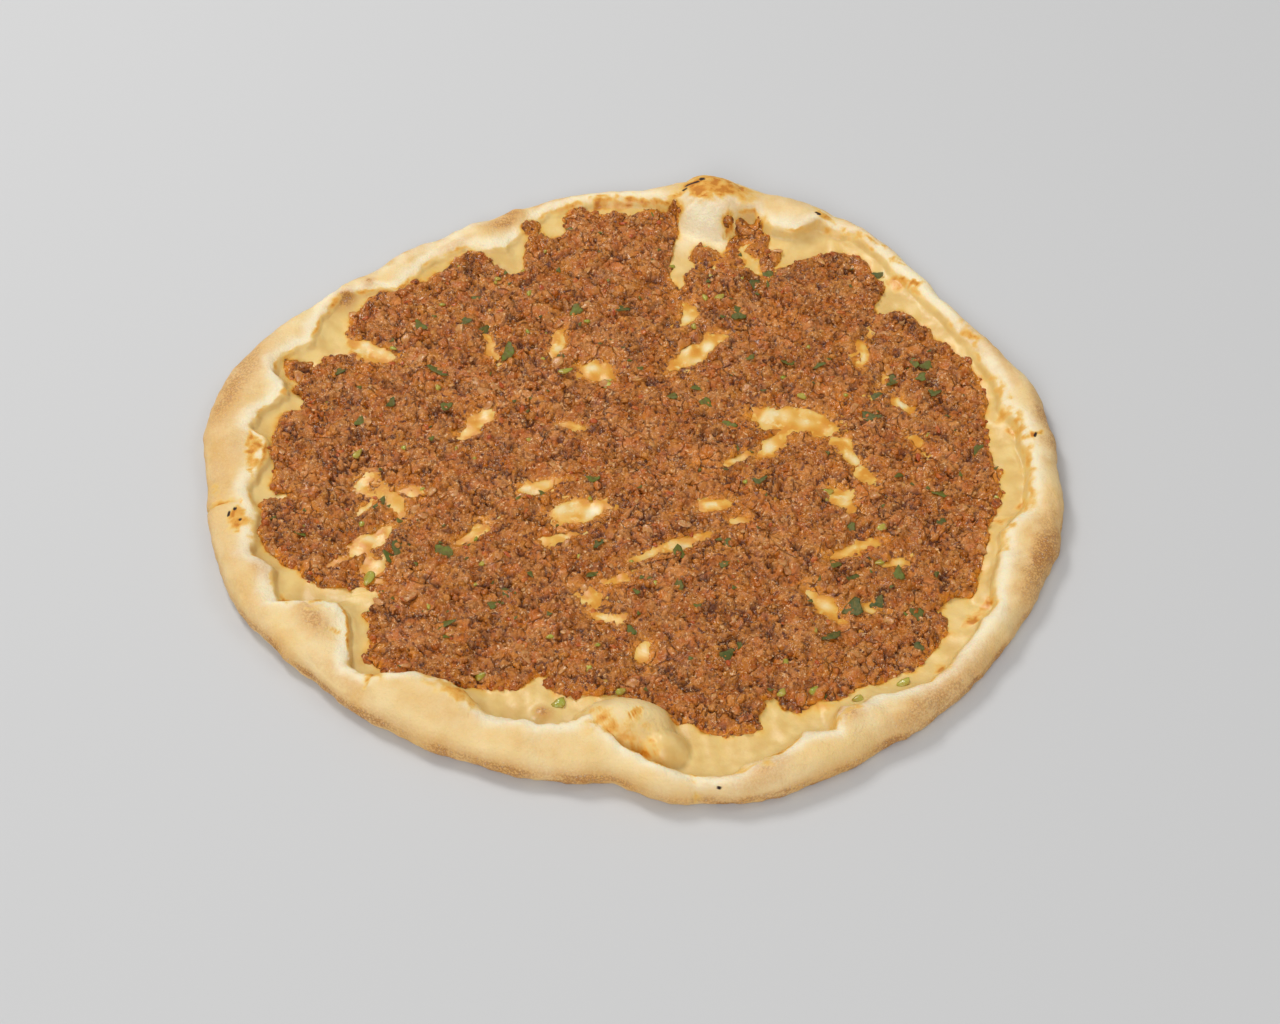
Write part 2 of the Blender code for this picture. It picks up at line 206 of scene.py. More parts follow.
# Blisters and small lumps: angle and radius, half lengths round and across, height, browning.
BLISTERS = (
    (59.5, 147.0, 9.0, 6.5, 1.6, 0.2), (289.0, 147.5, 5.0, 3.4, 0.8, 0.8),
    (301.4, 140.3, 6.0, 5.0, 1.2, 1.0), (287.0, 148.5, 6.0, 3.6, 0.5, 0.8),
    (108.5, 141.5, 6.0, 4.0, 1.2, 0.9), (135.8, 139.8, 2.8, 2.4, 1.2, 1.3),
    (140.6, 141.2, 4.8, 3.4, 1.6, 1.3), (119.8, 136.0, 8.0, 1.8, 0.5, 0.9),
    (176.8, 136.0, 9.0, 4.0, 0.8, 0.0), (356.0, 136.5, 23.0, 7.0, 2.6, 0.0),
    (110.5, 138.5, 9.0, 4.5, 0.7, 1.0),
    (59.0, 154.0, 4.0, 2.5, 0.5, 0.6), (238.0, 124.0, 12.0, 5.0, 0.6, 0.2),
    (214.0, 133.5, 9.0, 5.0, 0.8, 0.85), (214.4, 124.7, 4.5, 3.5, 0.9, 0.0),
    (201.0, 139.8, 5.5, 4.0, 0.8, 0.9), (254.7, 116.0, 3.2, 2.6, 1.6, 1.0),
)

# Creases where one fold lies on another: half width, depth, caramel, then angle and radius
# of the points along it.
CREASES = (
    (1.6, 0.0, 0.38, ((15, 142.5), (11.9, 143.3), (3.7, 145.9), (359.7, 146.3), (355.3, 146.6),
                     (349.5, 146.9), (345.5, 141.4), (342.4, 139.0), (339.4, 140.7))),
    (0.9, 0.4, 0.45, ((47.8, 150.5), (51.3, 150.6), (55.2, 147.0), (58.1, 146.0))),
    (1.0, 0.5, 0.6, ((172.9, 141.4), (176.5, 139.6), (180.7, 138.4))),
    (0.8, 1.1, 0.6, ((186.5, 156.5), (187.0, 148.2), (186.9, 141.0))),
    (0.8, 0.8, 0.35, ((277.9, 144.5), (277.2, 148.7), (277.9, 152.7), (277.3, 157.0))),
    (0.9, 0.9, 0.5, ((228.5, 132.0), (229.0, 139.0))),
    (1.6, 0.6, 0.6, ((262.5, 115.5), (265.7, 121.5), (268.2, 126.6), (270.6, 131.0), (273.5, 137.5))),
)

# Stains without relief: angle, radius, half lengths round and across the crust, strength.
CARAMEL = (
    (4.6, 144.0, 4.6, 2.0, 0.6), (7.4, 141.0, 3.0, 2.0, 0.5), (349.3, 144.5, 5.0, 1.8, 0.6),
    (346.8, 138.1, 3.0, 2.0, 0.6), (24.0, 144.5, 8.0, 2.2, 0.75), (57.8, 149.5, 5.0, 2.5, 0.6),
    (47.8, 151.0, 3.0, 1.6, 0.5), (44.0, 149.0, 2.5, 2.0, 0.6), (93.5, 141.4, 4.0, 2.5, 0.8),
    (90.3, 141.4, 5.0, 2.5, 0.7), (87.2, 140.6, 4.0, 2.0, 0.5), (77.5, 145.0, 8.0, 3.0, 0.9),
    (73.0, 146.0, 6.0, 3.0, 0.7), (81.3, 141.0, 3.0, 2.5, 0.7), (75.9, 137.7, 3.0, 2.6, 0.9),
    (71.8, 131.3, 2.0, 2.6, 0.8), (1.4, 150.2, 2.6, 1.8, 0.9), (190.5, 143.3, 5.0, 4.0, 0.8),
    (192.4, 143.8, 3.0, 2.5, 0.6), (184.1, 150.6, 4.0, 3.0, 0.4), (243.5, 125.5, 6.0, 3.5, 0.6),
    (236.0, 124.0, 6.0, 3.0, 0.35), (267.5, 126.0, 7.0, 3.6, 0.6), (264.9, 121.5, 4.0, 2.5, 0.5),
    (317.5, 143.5, 4.0, 2.0, 0.6), (326.5, 141.0, 5.0, 2.2, 0.6), (345.0, 141.0, 3.0, 2.0, 0.5),
    (75.8, 143.5, 15.0, 4.6, 1.0), (74.5, 148.0, 14.0, 5.0, 1.0), (268.0, 125.0, 11.0, 3.5, 0.45),
    (270.7, 119.7, 2.2, 1.6, 0.9), (272.9, 129.9, 2.2, 3.2, 0.6), (273.4, 134.0, 2.0, 2.0, 0.5),
    (241.9, 124.8, 12.0, 3.5, 0.62), (211.5, 128.0, 2.0, 5.0, 0.6), (217.5, 129.5, 3.0, 2.0, 0.5),
    (206.9, 136.5, 5.0, 1.6, 0.7), (228.2, 132.5, 6.0, 2.0, 0.7), (317.5, 144.5, 4.0, 2.4, 0.8),
    (176.5, 138.5, 7.0, 2.6, 0.75), (163.0, 134.0, 4.0, 2.0, 0.5), (330.5, 143.0, 5.0, 2.4, 0.7),
    (327.5, 141.0, 3.0, 2.4, 0.8), (41.2, 141.4, 3.8, 3.2, 0.95), (38.7, 143.9, 2.4, 2.8, 0.9),
    (301.4, 140.8, 4.6, 3.2, 0.42), (287.5, 147.4, 4.2, 2.6, 0.36), (298.0, 141.0, 9.0, 1.6, 0.35), (284.0, 146.0, 8.0, 1.6, 0.4),
)
TOAST = (
    (75.0, 145.0, 19.0, 8.5, 0.9), (163.0, 153.5, 38.0, 8.5, 0.85), (176.6, 145.5, 14.0, 6.0, 0.5),
    (191.0, 150.0, 10.0, 5.0, 0.4), (197.0, 147.0, 10.0, 6.0, 0.4), (340.0, 155.5, 30.0, 7.0, 1.0),
    (313.0, 153.0, 30.0, 6.5, 0.85), (24.0, 145.0, 10.0, 3.0, 1.0), (240.0, 133.0, 16.0, 5.0, 0.3),
    (5.0, 156.0, 24.0, 5.0, 0.9), (286.0, 151.0, 14.0, 5.0, 0.6), (20.0, 149.0, 26.0, 3.0, 0.6),
    (124.0, 143.0, 26.0, 3.5, 0.5), (104.0, 145.0, 14.0, 3.0, 0.5), (64.0, 151.0, 10.0, 6.0, 0.35),
    (205.0, 148.0, 16.0, 4.0, 0.4), (256.0, 134.0, 12.0, 4.0, 0.2), (181.0, 150.5, 26.0, 6.0, 0.6),
    (50.0, 152.5, 20.0, 4.0, 0.5), (301.4, 140.8, 5.5, 3.8, 0.9), (287.5, 147.4, 5.0, 3.0, 0.8),
    (134.0, 146.0, 12.0, 2.6, 0.6), (225.0, 141.0, 18.0, 3.0, 0.5),
)
CHAR = (
    (79.9, 143.3, 1.4, 0.8, 1.0), (78.8, 145.2, 2.8, 0.7, 0.9), (77.5, 147.5, 1.5, 1.0, 1.0),
    (58.6, 148.5, 1.1, 0.7, 1.0), (1.3, 150.1, 1.3, 0.6, 0.9), (189.2, 146.3, 0.8, 0.7, 1.0),
    (188.7, 143.9, 0.9, 0.7, 1.0), (190.6, 142.3, 0.7, 0.7, 0.9), (280.7, 151.1, 0.9, 0.6, 0.9),
)

# Wrinkled skin: angle, radius, half lengths round and across, depth.
WRINKLES = (
    (358.0, 137.5, 24.0, 9.0, 0.2), (272.5, 128.0, 9.0, 14.0, 0.3), (75.5, 131.0, 18.0, 8.0, 0.45),
    (213.0, 130.0, 9.0, 6.0, 0.35),
)


def ripple(x, y, size, seed, z=0.0):
    """Smooth unevenness with mean 0 and spread 1: the sum of twenty cosine waves about size mm
    long, with random directions in space and random starts, times the root of 2 / 20."""
    rng = np.random.default_rng(seed)
    waves = 20
    pull = rng.normal(size=(waves, 3))
    pull *= 2 * np.pi / size * rng.uniform(0.8, 1.4, (waves, 1)) / np.linalg.norm(pull, axis=1)[:, None]
    start = rng.uniform(0, 2 * np.pi, waves)
    total = np.zeros(np.shape(x))
    for (pull_x, pull_y, pull_z), begin in zip(pull, start):
        total += np.cos(pull_x * x + pull_y * y + pull_z * z + begin)
    return total * math.sqrt(2 / waves)


def round_table(rows, column, at):
    """The smooth closed curve through a table's column at the angles in its first column:
    between two rows a cubic whose slopes are those between the rows' neighbours."""
    angles = rows[:, 0]
    values = rows[:, column]
    before = np.roll(angles, 1)
    before[0] -= 360.0
    after = np.roll(angles, -1)
    after[-1] += 360.0
    slopes = (np.roll(values, -1) - np.roll(values, 1)) / (after - before)
    turned = (at - angles[0]) % 360.0 + angles[0]
    left = np.searchsorted(angles, turned, side="right") - 1
    right = (left + 1) % len(angles)
    span = after[left] - angles[left]
    u = (turned - angles[left]) / span
    return (
        (2 * u**3 - 3 * u**2 + 1) * values[left] + (u**3 - 2 * u**2 + u) * span * slopes[left]
        + (3 * u**2 - 2 * u**3) * values[right] + (u**3 - u**2) * span * slopes[right]
    )


def hump(at, middle, half_width):
    """1 at the angle middle, falling as exp(-(away / half width) ^ 4)."""
    away = (at - middle + 180.0) % 360.0 - 180.0
    return np.exp(-((away / half_width) ** 4))


def patch(x, y, angle, radius, round_the_crust, across):
    """1 in the middle of an oval patch that lies along the crust, falling as exp(-d ^ 2.6),
    where d is 1 on the oval with those half lengths."""
    turn = math.radians(angle)
    radial = (x * math.cos(turn) + y * math.sin(turn) - radius) / across
    sideways = (y * math.cos(turn) - x * math.sin(turn)) / round_the_crust
    return np.exp(-((radial**2 + sideways**2) ** 1.3))


def patches(x, y, rows, wander=1.0):
    """The largest of several patches at x, y, each times its row's last number. Their outlines
    wander by about that many mm."""
    wander_x = x + wander * (0.45 * ripple(x, y, 3.2, 71) + 0.8 * ripple(x, y, 8.0, 72))
    wander_y = y + wander * (0.45 * ripple(x, y, 3.2, 73) + 0.8 * ripple(x, y, 8.0, 74))
    total = np.zeros(np.shape(x))
    for *place, strength in rows:
        total = np.maximum(total, strength * patch(wander_x, wander_y, *place))
    return total


def crust_section(at):
    """Outer radius, foot radius, crest height and crest radius at the angles in at: the tables,
    moved by the folds and by a hand's unevenness. The foot lies just inside the lip's edge."""
    outer, inner, crest = (round_table(CRUST, column, at) for column in (1, 2, 3))
    for middle, half_width, reach, rise in FOLDS:
        share = hump(at, middle, half_width)
        inner = inner - reach * share
        crest = crest + rise * share
    x = 143.0 * np.cos(np.radians(at))
    y = 143.0 * np.sin(np.radians(at))
    crest = crest + 0.3 * ripple(x, y, 22.0, 3) + 0.1 * ripple(x, y, 8.0, 4)
    outer = outer + 0.3 * ripple(x, y, 26.0, 5) + 0.1 * ripple(x, y, 7.0, 6)
    ridge = inner + round_table(INNER_SIDE, 1, at) * (outer - inner)
    lip_edge = np.interp(at % 360.0, LIP[:, 0], LIP[:, 1], period=360.0)
    return outer, np.minimum(lip_edge - 0.6 * LIP_WIDTH, ridge - FACE_LEAST), crest, ridge


def past_lip(x, y, foot):
    """How far x, y is past the uneven foot of the lip: 0 there and 1 where the lip is full."""
    uneven = 0.50 * ripple(x, y, 8.0, 2) + 0.22 * ripple(x, y, 3.0, 7)
    uneven *= 1.0 - 0.6 * hump(np.degrees(np.arctan2(y, x)), 5.0, 72.0)
    return (np.hypot(x, y) - foot - uneven) / LIP_WIDTH


def dough_top(x, y):
    """Height of the bread's upper side in mm: flat floor, a climb with the square of the way to
    the foot, the lip's quarter round, a parabola on to the crest, a quarter ellipse down to the
    outer edge, the bubbles where they are higher, and the blisters added."""
    at = np.degrees(np.arctan2(y, x)) % 360.0
    radius = np.hypot(x, y)
    outer, foot, crest, ridge = crust_section(at)
    climb, lip = (round_table(INNER_SIDE, column, at) for column in (2, 3))
    rising = np.clip((radius - foot) / APRON + 1.0, 0.0, 1.0) ** 2
    face = np.clip((radius - foot) / (ridge - foot), 0.0, 1.0)
    back = np.clip((radius - ridge) / (outer - ridge), 0.0, 1.0)
    front = np.sqrt(1.0 - (1.0 - np.clip(past_lip(x, y, foot), 0.0, 1.0)) ** 2)
    height = np.where(
        radius < ridge,
        FLOOR + (crest - FLOOR) * (
            climb * rising + (1.0 - climb) * (lip * front + (1.0 - lip) * face * (2.0 - face))
        ),
        EDGE_HEIGHT + (crest - EDGE_HEIGHT) * np.sqrt(1.0 - back**2),
    )
    for angle, distance, across, round_the_crust, top in BUBBLES:
        turn = math.radians(angle)
        radial = (x * math.cos(turn) + y * math.sin(turn) - distance) / across
        sideways = (y * math.cos(turn) - x * math.sin(turn)) / round_the_crust
        height = np.maximum(height, top * np.clip(1.0 - radial**2 - sideways**2, 0.0, None) ** 0.6)
    for *place, rise, _ in BLISTERS:
        height = height + rise * patch(x, y, *place) * (1.0 - 0.6 * back)
    return height


def crease_distance(x, y, points):
    """Distance in mm from x, y to the path through points given by angle and radius."""
    path = np.array([(r * math.cos(math.radians(a)), r * math.sin(math.radians(a))) for a, r in points])
    nearest = np.full(np.shape(x), 1e3)
    for (start_x, start_y), (end_x, end_y) in zip(path[:-1], path[1:]):
        run_x = end_x - start_x
        run_y = end_y - start_y
        share = ((x - start_x) * run_x + (y - start_y) * run_y) / (run_x**2 + run_y**2)
        share = np.clip(share, 0.0, 1.0)
        nearest = np.minimum(nearest, np.hypot(x - start_x - share * run_x, y - start_y - share * run_y))
    return nearest


def in_place(x, y, z):
    """Points in mm from the middle of the bread as rows of metres in the frame."""
    x, y, z = np.broadcast_arrays(x, y, z)
    return np.stack([x + MIDDLE[0], y + MIDDLE[1], z], axis=-1).reshape(-1, 3) * MM


def new_mesh(name, points, faces, finish, **values):
    """A smooth-shaded object from points and faces, with one number a point for each value."""
    mesh = bpy.data.meshes.new(name)
    mesh.from_pydata(points.tolist(), [], faces)
    mesh.shade_smooth()
    for key, numbers in values.items():
        layer = mesh.attributes.new(key, "FLOAT", "POINT")
        layer.data.foreach_set("value", np.asarray(numbers, np.float32))
    mesh.materials.append(finish)
    made = bpy.data.objects.new(name, mesh)
    scene.collection.objects.link(made)
    return made


def ring_faces(counts, starts):
    """Faces between rings of points, each ring with the points of the one before, twice or half
    as many: quads between equal rings, and three triangles a step where the count doubles."""
    faces = []
    for (count, start), (next_count, next_start) in zip(zip(counts, starts), zip(counts[1:], starts[1:])):
        if count == next_count:
            step = np.arange(count)
            beyond = (step + 1) % count
            quads = (start + step, next_start + step, next_start + beyond, start + beyond)
            faces += np.stack(quads, axis=-1).tolist()
            continue
        few, many = min(count, next_count), max(count, next_count)
        first, second = (start, next_start) if count < next_count else (next_start, start)
        step = np.arange(few)
        beyond = (step + 1) % few
        even, odd, after = second + 2 * step, second + 2 * step + 1, second + (2 * step + 2) % many
        triangles = np.concatenate([
            np.stack([first + step, even, odd], axis=-1),
            np.stack([first + step, odd, first + beyond], axis=-1),
            np.stack([first + beyond, odd, after], axis=-1),
        ])
        faces += (triangles if count < next_count else triangles[:, ::-1]).tolist()
    return faces


SEGMENTS = 840
floor_rings = [(part, SEGMENTS // 4) for part in np.linspace(0.01, 0.34, 32)]
floor_rings += [(part, SEGMENTS // 2) for part in np.linspace(0.35, 0.70, 34)]
floor_rings += [(part, SEGMENTS) for part in np.linspace(0.71, 0.99, 29)]
lip_steps = np.linspace(*LIP_ZONE, 14)
face_steps = np.linspace(0.0, 1.0, 11)[1:]
back_turns = np.linspace(0.0, 0.5 * np.pi, 25)[1:]
tuck_turns = np.linspace(0.0, 0.5 * np.pi, 7)[1:]
base_rings = [(part, SEGMENTS) for part in (0.995, 0.98, 0.96)]
base_rings += [(part, SEGMENTS // 2) for part in (0.94, 0.88, 0.78, 0.68, 0.58)]
base_rings += [(part, SEGMENTS // 4) for part in (0.48, 0.36, 0.24, 0.12, 0.02)]

ring_x, ring_y, ring_z, ring_counts = [], [], [], []


def add_ring(radius, turn, height):
    """Keeps one ring of the bread, given by radius and height at each angle."""
    x = radius * np.cos(turn)
    y = radius * np.sin(turn)
    ring_x.append(x)
    ring_y.append(y)
    ring_z.append(dough_top(x, y) if height is None else height)
    ring_counts.append(len(turn))


for part, count in floor_rings:
    angles = np.arange(count) * 360.0 / count
    add_ring(part * (crust_section(angles)[1] + LIP_ZONE[0]), np.radians(angles), None)
angles = np.arange(SEGMENTS) * 360.0 / SEGMENTS
outer, foot, crest, ridge = crust_section(angles)
turn = np.radians(angles)
for over_lip in lip_steps:
    add_ring(foot + over_lip, turn, None)
for share in face_steps:
    add_ring(foot + LIP_ZONE[1] + share * (ridge - foot - LIP_ZONE[1]), turn, None)
for lift in back_turns:
    add_ring(ridge + (outer - ridge) * math.sin(lift), turn, None)
for curl in tuck_turns:
    lower = EDGE_HEIGHT * (1.0 - math.sin(curl)) * np.ones(SEGMENTS)
    add_ring(outer - EDGE_TUCK * (1.0 - math.cos(curl)), turn, lower)
for part, count in base_rings:
    angles = np.arange(count) * 360.0 / count
    add_ring((crust_section(angles)[0] - EDGE_TUCK) * part, np.radians(angles), np.zeros(count))

ring_starts = (np.cumsum([0, *ring_counts[:-1]]) + 1).tolist()
dough_x = np.concatenate([[0.0], *ring_x, [0.0]])
dough_y = np.concatenate([[0.0], *ring_y, [0.0]])
dough_z = np.concatenate([[FLOOR], *ring_z, [0.0]])
last = len(dough_x) - 1
dough_faces = ring_faces(ring_counts, ring_starts)
step = np.arange(ring_counts[0])
dough_faces += np.stack([0 * step, 1 + step, 1 + (step + 1) % ring_counts[0]], axis=-1).tolist()
step = np.arange(ring_counts[-1])
closing = ring_starts[-1] + (step + 1) % ring_counts[-1]
dough_faces += np.stack([0 * step + last, closing, ring_starts[-1] + step], axis=-1).tolist()

top_rings = len(floor_rings) + len(lip_steps) + len(face_steps) + len(back_turns)
top_count = 1 + sum(ring_counts[:top_rings])
is_top = np.arange(last + 1) < top_count
dough_at = np.degrees(np.arctan2(dough_y, dough_x)) % 360.0
dough_radius = np.hypot(dough_x, dough_y)
outer, foot, crest, ridge = crust_section(dough_at)
over_foot = np.clip((dough_radius - foot) / 3.0, 0.0, 1.0) * is_top
back = np.clip((dough_radius - ridge) / (outer - ridge), 0.0, 1.0)

relief = (
    (0.15 + 0.15 * over_foot) * ripple(dough_x, dough_y, 19.0, 11, dough_z)
    + (0.13 - 0.06 * over_foot) * ripple(dough_x, dough_y, 8.0, 12, dough_z)
    + (0.05 - 0.02 * over_foot) * ripple(dough_x, dough_y, 3.4, 13, dough_z)
)
arc = np.radians(dough_at) * dough_radius
for *place, depth in WRINKLES:
    folded = ripple(arc, dough_radius / 3.0, 4.2, 14) + 0.5 * ripple(dough_x, dough_y, 3.0, 15)
    relief += depth * 0.5 * folded * patch(dough_x, dough_y, *place)
caramel = patches(dough_x, dough_y, CARAMEL)
for half_width, depth, stain, points in CREASES:
    away = crease_distance(
        dough_x + 0.5 * ripple(dough_x, dough_y, 5.0, 16), dough_y + 0.5 * ripple(dough_x, dough_y, 5.0, 17), points
    )
    relief -= depth * np.exp(-((away / half_width) ** 2)) * is_top
    breaking = np.clip(0.75 + 0.5 * ripple(dough_x, dough_y, 5.0, 18), 0.0, 1.2)
    caramel = np.maximum(caramel, stain * np.exp(-((away / (1.5 * half_width)) ** 2)) * breaking)
charred = patches(dough_x, dough_y, CHAR, 0.25)
relief -= 0.5 * charred
relief *= np.clip(dough_z / 1.5, 0.0, 1.0)

drop = np.where(back > 0.0, (crest - dough_z) / (crest - EDGE_HEIGHT), 0.0)
edge_brown = round_table(BROWNING, 1, dough_at) * np.clip((drop - 0.26) / 0.50, 0.0, 1.0) ** 1.2
edge_brown *= 0.92 + 0.1 * ripple(dough_x, dough_y, 14.0, 21, dough_z)
edge_brown = np.where(is_top, edge_brown, 0.75 + 0.25 * ripple(dough_x, dough_y, 14.0, 22))
toast = np.maximum(edge_brown, patches(dough_x, dough_y, TOAST) * is_top)
for *place, _, brown in BLISTERS:
    toast = np.maximum(toast, brown * patch(dough_x, dough_y, *place))
past = past_lip(dough_x, dough_y, foot)
wet = np.where(is_top & (dough_radius < ridge), np.clip((1.05 - past) / 0.4, 0.0, 1.0), 0.0)
dry_bubble = patch(dough_x, dough_y, 75.5, 133.0, 20.0, 17.0)
wet *= (1.0 - 0.95 * dry_bubble) * (1.0 - 0.8 * patch(dough_x, dough_y, 269.0, 119.0, 15.0, 9.0))
seam = np.exp(-(((past - 0.75) / 0.45) ** 2)) * np.clip(0.45 + 0.45 * ripple(dough_x, dough_y, 13.0, 19), 0.0, 1.0)
seam *= 1.0 - 0.5 * hump(dough_at, 0.0, 60.0)
caramel = np.maximum(caramel, 0.75 * seam * is_top * (dough_radius < ridge))
floury = 0.75 * patch(dough_x, dough_y, 122.0, 142.0, 38.0, 6.0) * np.clip(0.8 + 0.4 * ripple(dough_x, dough_y, 7.0, 23), 0.0, 1.0)
pale = np.maximum(0.85 * np.exp(-(((past - 2.0) / 1.6) ** 2)), np.maximum(dry_bubble, floury * (past > 0.0)) * is_top)
pale *= 1.0 - caramel
toast *= 1.0 - 0.5 * np.clip(pale, 0.0, 1.0)


def add(tree, kind, settings, **inputs):
    """A shader node of that kind. settings are its own choices; each further input is a number,
    a colour or another node's output, and its name has _ for a space."""
    made = tree.nodes.new("ShaderNode" + kind)
    for key, value in settings.items():
        setattr(made, key, value)
    for key, value in inputs.items():
        socket = made.inputs[key.replace("_", " ")]
        if isinstance(value, bpy.types.NodeSocket):
            tree.links.new(value, socket)
        else:
            socket.default_value = value
    return made


def place_of(tree):
    """The point's place on the object, in metres."""
    return add(tree, "TexCoord", {}).outputs["Object"]


def value_of(tree, name):
    """The number that the mesh keeps at each point under that name."""
    return add(tree, "Attribute", {"attribute_name": name}).outputs["Fac"]


def speckle(tree, size, low, high, detail=3.0):
    """0 to 1 in soft blotches about size metres across: noise, stretched from low to high."""
    noise = add(tree, "TexNoise", {}, Vector=place_of(tree), Scale=1.0 / size, Detail=detail)
    steps = {"From_Min": low, "From_Max": high}
    return add(tree, "MapRange", {}, Value=noise.outputs["Fac"], **steps).outputs["Result"]


def sum_up(tree, way, first, second):
    """Two numbers joined in a way such as ADD or MULTIPLY, kept between 0 and 1."""
    node = add(tree, "Math", {"operation": way, "use_clamp": True})
    for socket, value in zip(node.inputs, (first, second)):
        if isinstance(value, bpy.types.NodeSocket):
            tree.links.new(value, socket)
        else:
            socket.default_value = value
    return node.outputs[0]


def cover(tree, share, under, over):
    """The colour under with the colour over laid on it, as strongly as share says."""
    node = tree.nodes.new("ShaderNodeMix")
    node.data_type = "RGBA"
    for index, value in ((0, share), (6, under), (7, over)):
        if isinstance(value, bpy.types.NodeSocket):
            tree.links.new(value, node.inputs[index])
        else:
            node.inputs[index].default_value = value
    return node.outputs[2]


def raised(tree, height, distance, strength, below=None):
    """The surface's direction as if height, 0 to 1, were raised by distance metres."""
    node = add(tree, "Bump", {}, Height=height, Distance=distance, Strength=strength)
    if below is not None:
        tree.links.new(below, node.inputs["Normal"])
    return node.outputs["Normal"]


baked, tree, shader = new_finish("baked_dough_skin", 0.7)
toasted = value_of(tree, "toast")
colour = cover(tree, speckle(tree, 0.022, 0.38, 0.66), shade(245, 220, 166), shade(239, 204, 138))
colour = cover(tree, value_of(tree, "pale"), colour, shade(252, 238, 204))
soaked = cover(tree, speckle(tree, 0.008, 0.35, 0.65), shade(236, 204, 130), shade(222, 182, 104))
colour = cover(tree, sum_up(tree, "MULTIPLY", value_of(tree, "wet"), 0.95), colour, soaked)
dry_share = sum_up(tree, "SUBTRACT", 1.0, sum_up(tree, "ADD", value_of(tree, "wet"), value_of(tree, "pale")))
blotch = sum_up(tree, "MULTIPLY", speckle(tree, 0.014, 0.50, 0.72), 0.55)
colour = cover(tree, sum_up(tree, "MULTIPLY", blotch, dry_share), colour, shade(230, 184, 102))
sand = sum_up(tree, "MULTIPLY", speckle(tree, 0.0008, 0.36, 0.66, 4.0), 0.42)
cloud = sum_up(tree, "MULTIPLY", speckle(tree, 0.012, 0.30, 0.70), 0.16)
patchy = sum_up(tree, "ADD", sum_up(tree, "ADD", sand, cloud), 0.50)
tan = sum_up(tree, "MULTIPLY", toasted, patchy)
colour = cover(tree, tan, colour, shade(208, 144, 60))
deep = sum_up(tree, "MULTIPLY", sum_up(tree, "SUBTRACT", tan, 0.56), 1.8)
colour = cover(tree, deep, colour, shade(142, 82, 30))
flour = sum_up(tree, "MULTIPLY", speckle(tree, 0.0008, 0.60, 0.70, 2.0), sum_up(tree, "MULTIPLY", toasted, 0.45))
colour = cover(tree, flour, colour, shade(250, 236, 206))
colour = cover(tree, value_of(tree, "cream"), colour, shade(242, 228, 186))
oily = sum_up(tree, "MULTIPLY", value_of(tree, "oil"), speckle(tree, 0.0028, 0.15, 0.45))
colour = cover(tree, sum_up(tree, "MULTIPLY", oily, 1.3), colour, shade(238, 196, 98))
orange = sum_up(tree, "MULTIPLY", sum_up(tree, "SUBTRACT", oily, 0.35), 1.5)
colour = cover(tree, orange, colour, shade(228, 162, 44))
rusty = sum_up(tree, "MULTIPLY", sum_up(tree, "SUBTRACT", oily, 0.65), 1.3)
colour = cover(tree, rusty, colour, shade(206, 122, 22))
strong = sum_up(tree, "MULTIPLY", value_of(tree, "caramel"), 1.5)
breaks = sum_up(tree, "MULTIPLY", sum_up(tree, "SUBTRACT", 1.0, speckle(tree, 0.0036, 0.34, 0.60, 5.0)), 0.45)
sticky = sum_up(tree, "SUBTRACT", strong, breaks)
colour = cover(tree, sum_up(tree, "MULTIPLY", sticky, 1.8), colour, shade(242, 202, 112))
glazed = sum_up(tree, "MULTIPLY", sum_up(tree, "SUBTRACT", sticky, 0.26), 1.5)
colour = cover(tree, glazed, colour, shade(222, 148, 34))
burnt = sum_up(tree, "MULTIPLY", sum_up(tree, "SUBTRACT", sticky, 0.78), 2.2)
colour = cover(tree, burnt, colour, shade(178, 94, 16))
scorched = add(tree, "MapRange", {}, Value=value_of(tree, "char"), From_Min=0.30, From_Max=0.65)
colour = cover(tree, scorched.outputs["Result"], colour, shade(44, 18, 4))
tree.links.new(colour, shader.inputs["Base Color"])
dry = add(tree, "MapRange", {}, Value=value_of(tree, "wet"), To_Min=0.72, To_Max=0.38)
tree.links.new(dry.outputs["Result"], shader.inputs["Roughness"])
shader.inputs["Subsurface Weight"].default_value = 0.30
shader.inputs["Subsurface Radius"].default_value = (1.0, 0.55, 0.25)
shader.inputs["Subsurface Scale"].default_value = 0.002
grip = add(tree, "MapRange", {}, Value=value_of(tree, "wet"), To_Min=0.75, To_Max=0.12).outputs["Result"]
soft = raised(tree, speckle(tree, 0.0035, 0.2, 0.8), 0.0004, grip)
fine = raised(tree, speckle(tree, 0.0009, 0.2, 0.8, 5.0), 0.0003, grip, soft)
tree.links.new(fine, shader.inputs["Normal"])

bread = new_mesh(
    "bread", in_place(dough_x, dough_y, dough_z), dough_faces, baked,
    toast=np.clip(toast, 0, 1), caramel=np.clip(caramel, 0, 1), char=np.clip(charred * 1.6, 0, 1), wet=wet,
    pale=np.clip(pale, 0, 1),
)
directions = np.zeros((last + 1) * 3)
bread.data.vertices.foreach_get("normal", directions)
points = in_place(dough_x, dough_y, dough_z) + directions.reshape(-1, 3) * relief[:, None] * MM
bread.data.vertices.foreach_set("co", points.ravel())
bread.data.update()
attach(bread, "root")
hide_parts("dough")


# ---------------------------------------------------------------- the spread meat
# Raw lamb mince kneaded with onion, pepper and parsley, spread thin by hand and baked on the
# dough: it shrinks into a crumbly, greasy layer about 3 mm thick, torn open over the floor,
# cracked, and dark red where its edge dried. It sticks to the dough by its own fat.

THICKNESS = 2.8
THIN = 0.6  # share of the thickness lost beside a bare spot
SPOT_GROWTH = (0.0, -0.1)  # mm added to a bare spot's half length and half width
GRID = 0.78  # mm between the points of the layer
BURIED = 2.8  # height of its underside, inside the dough

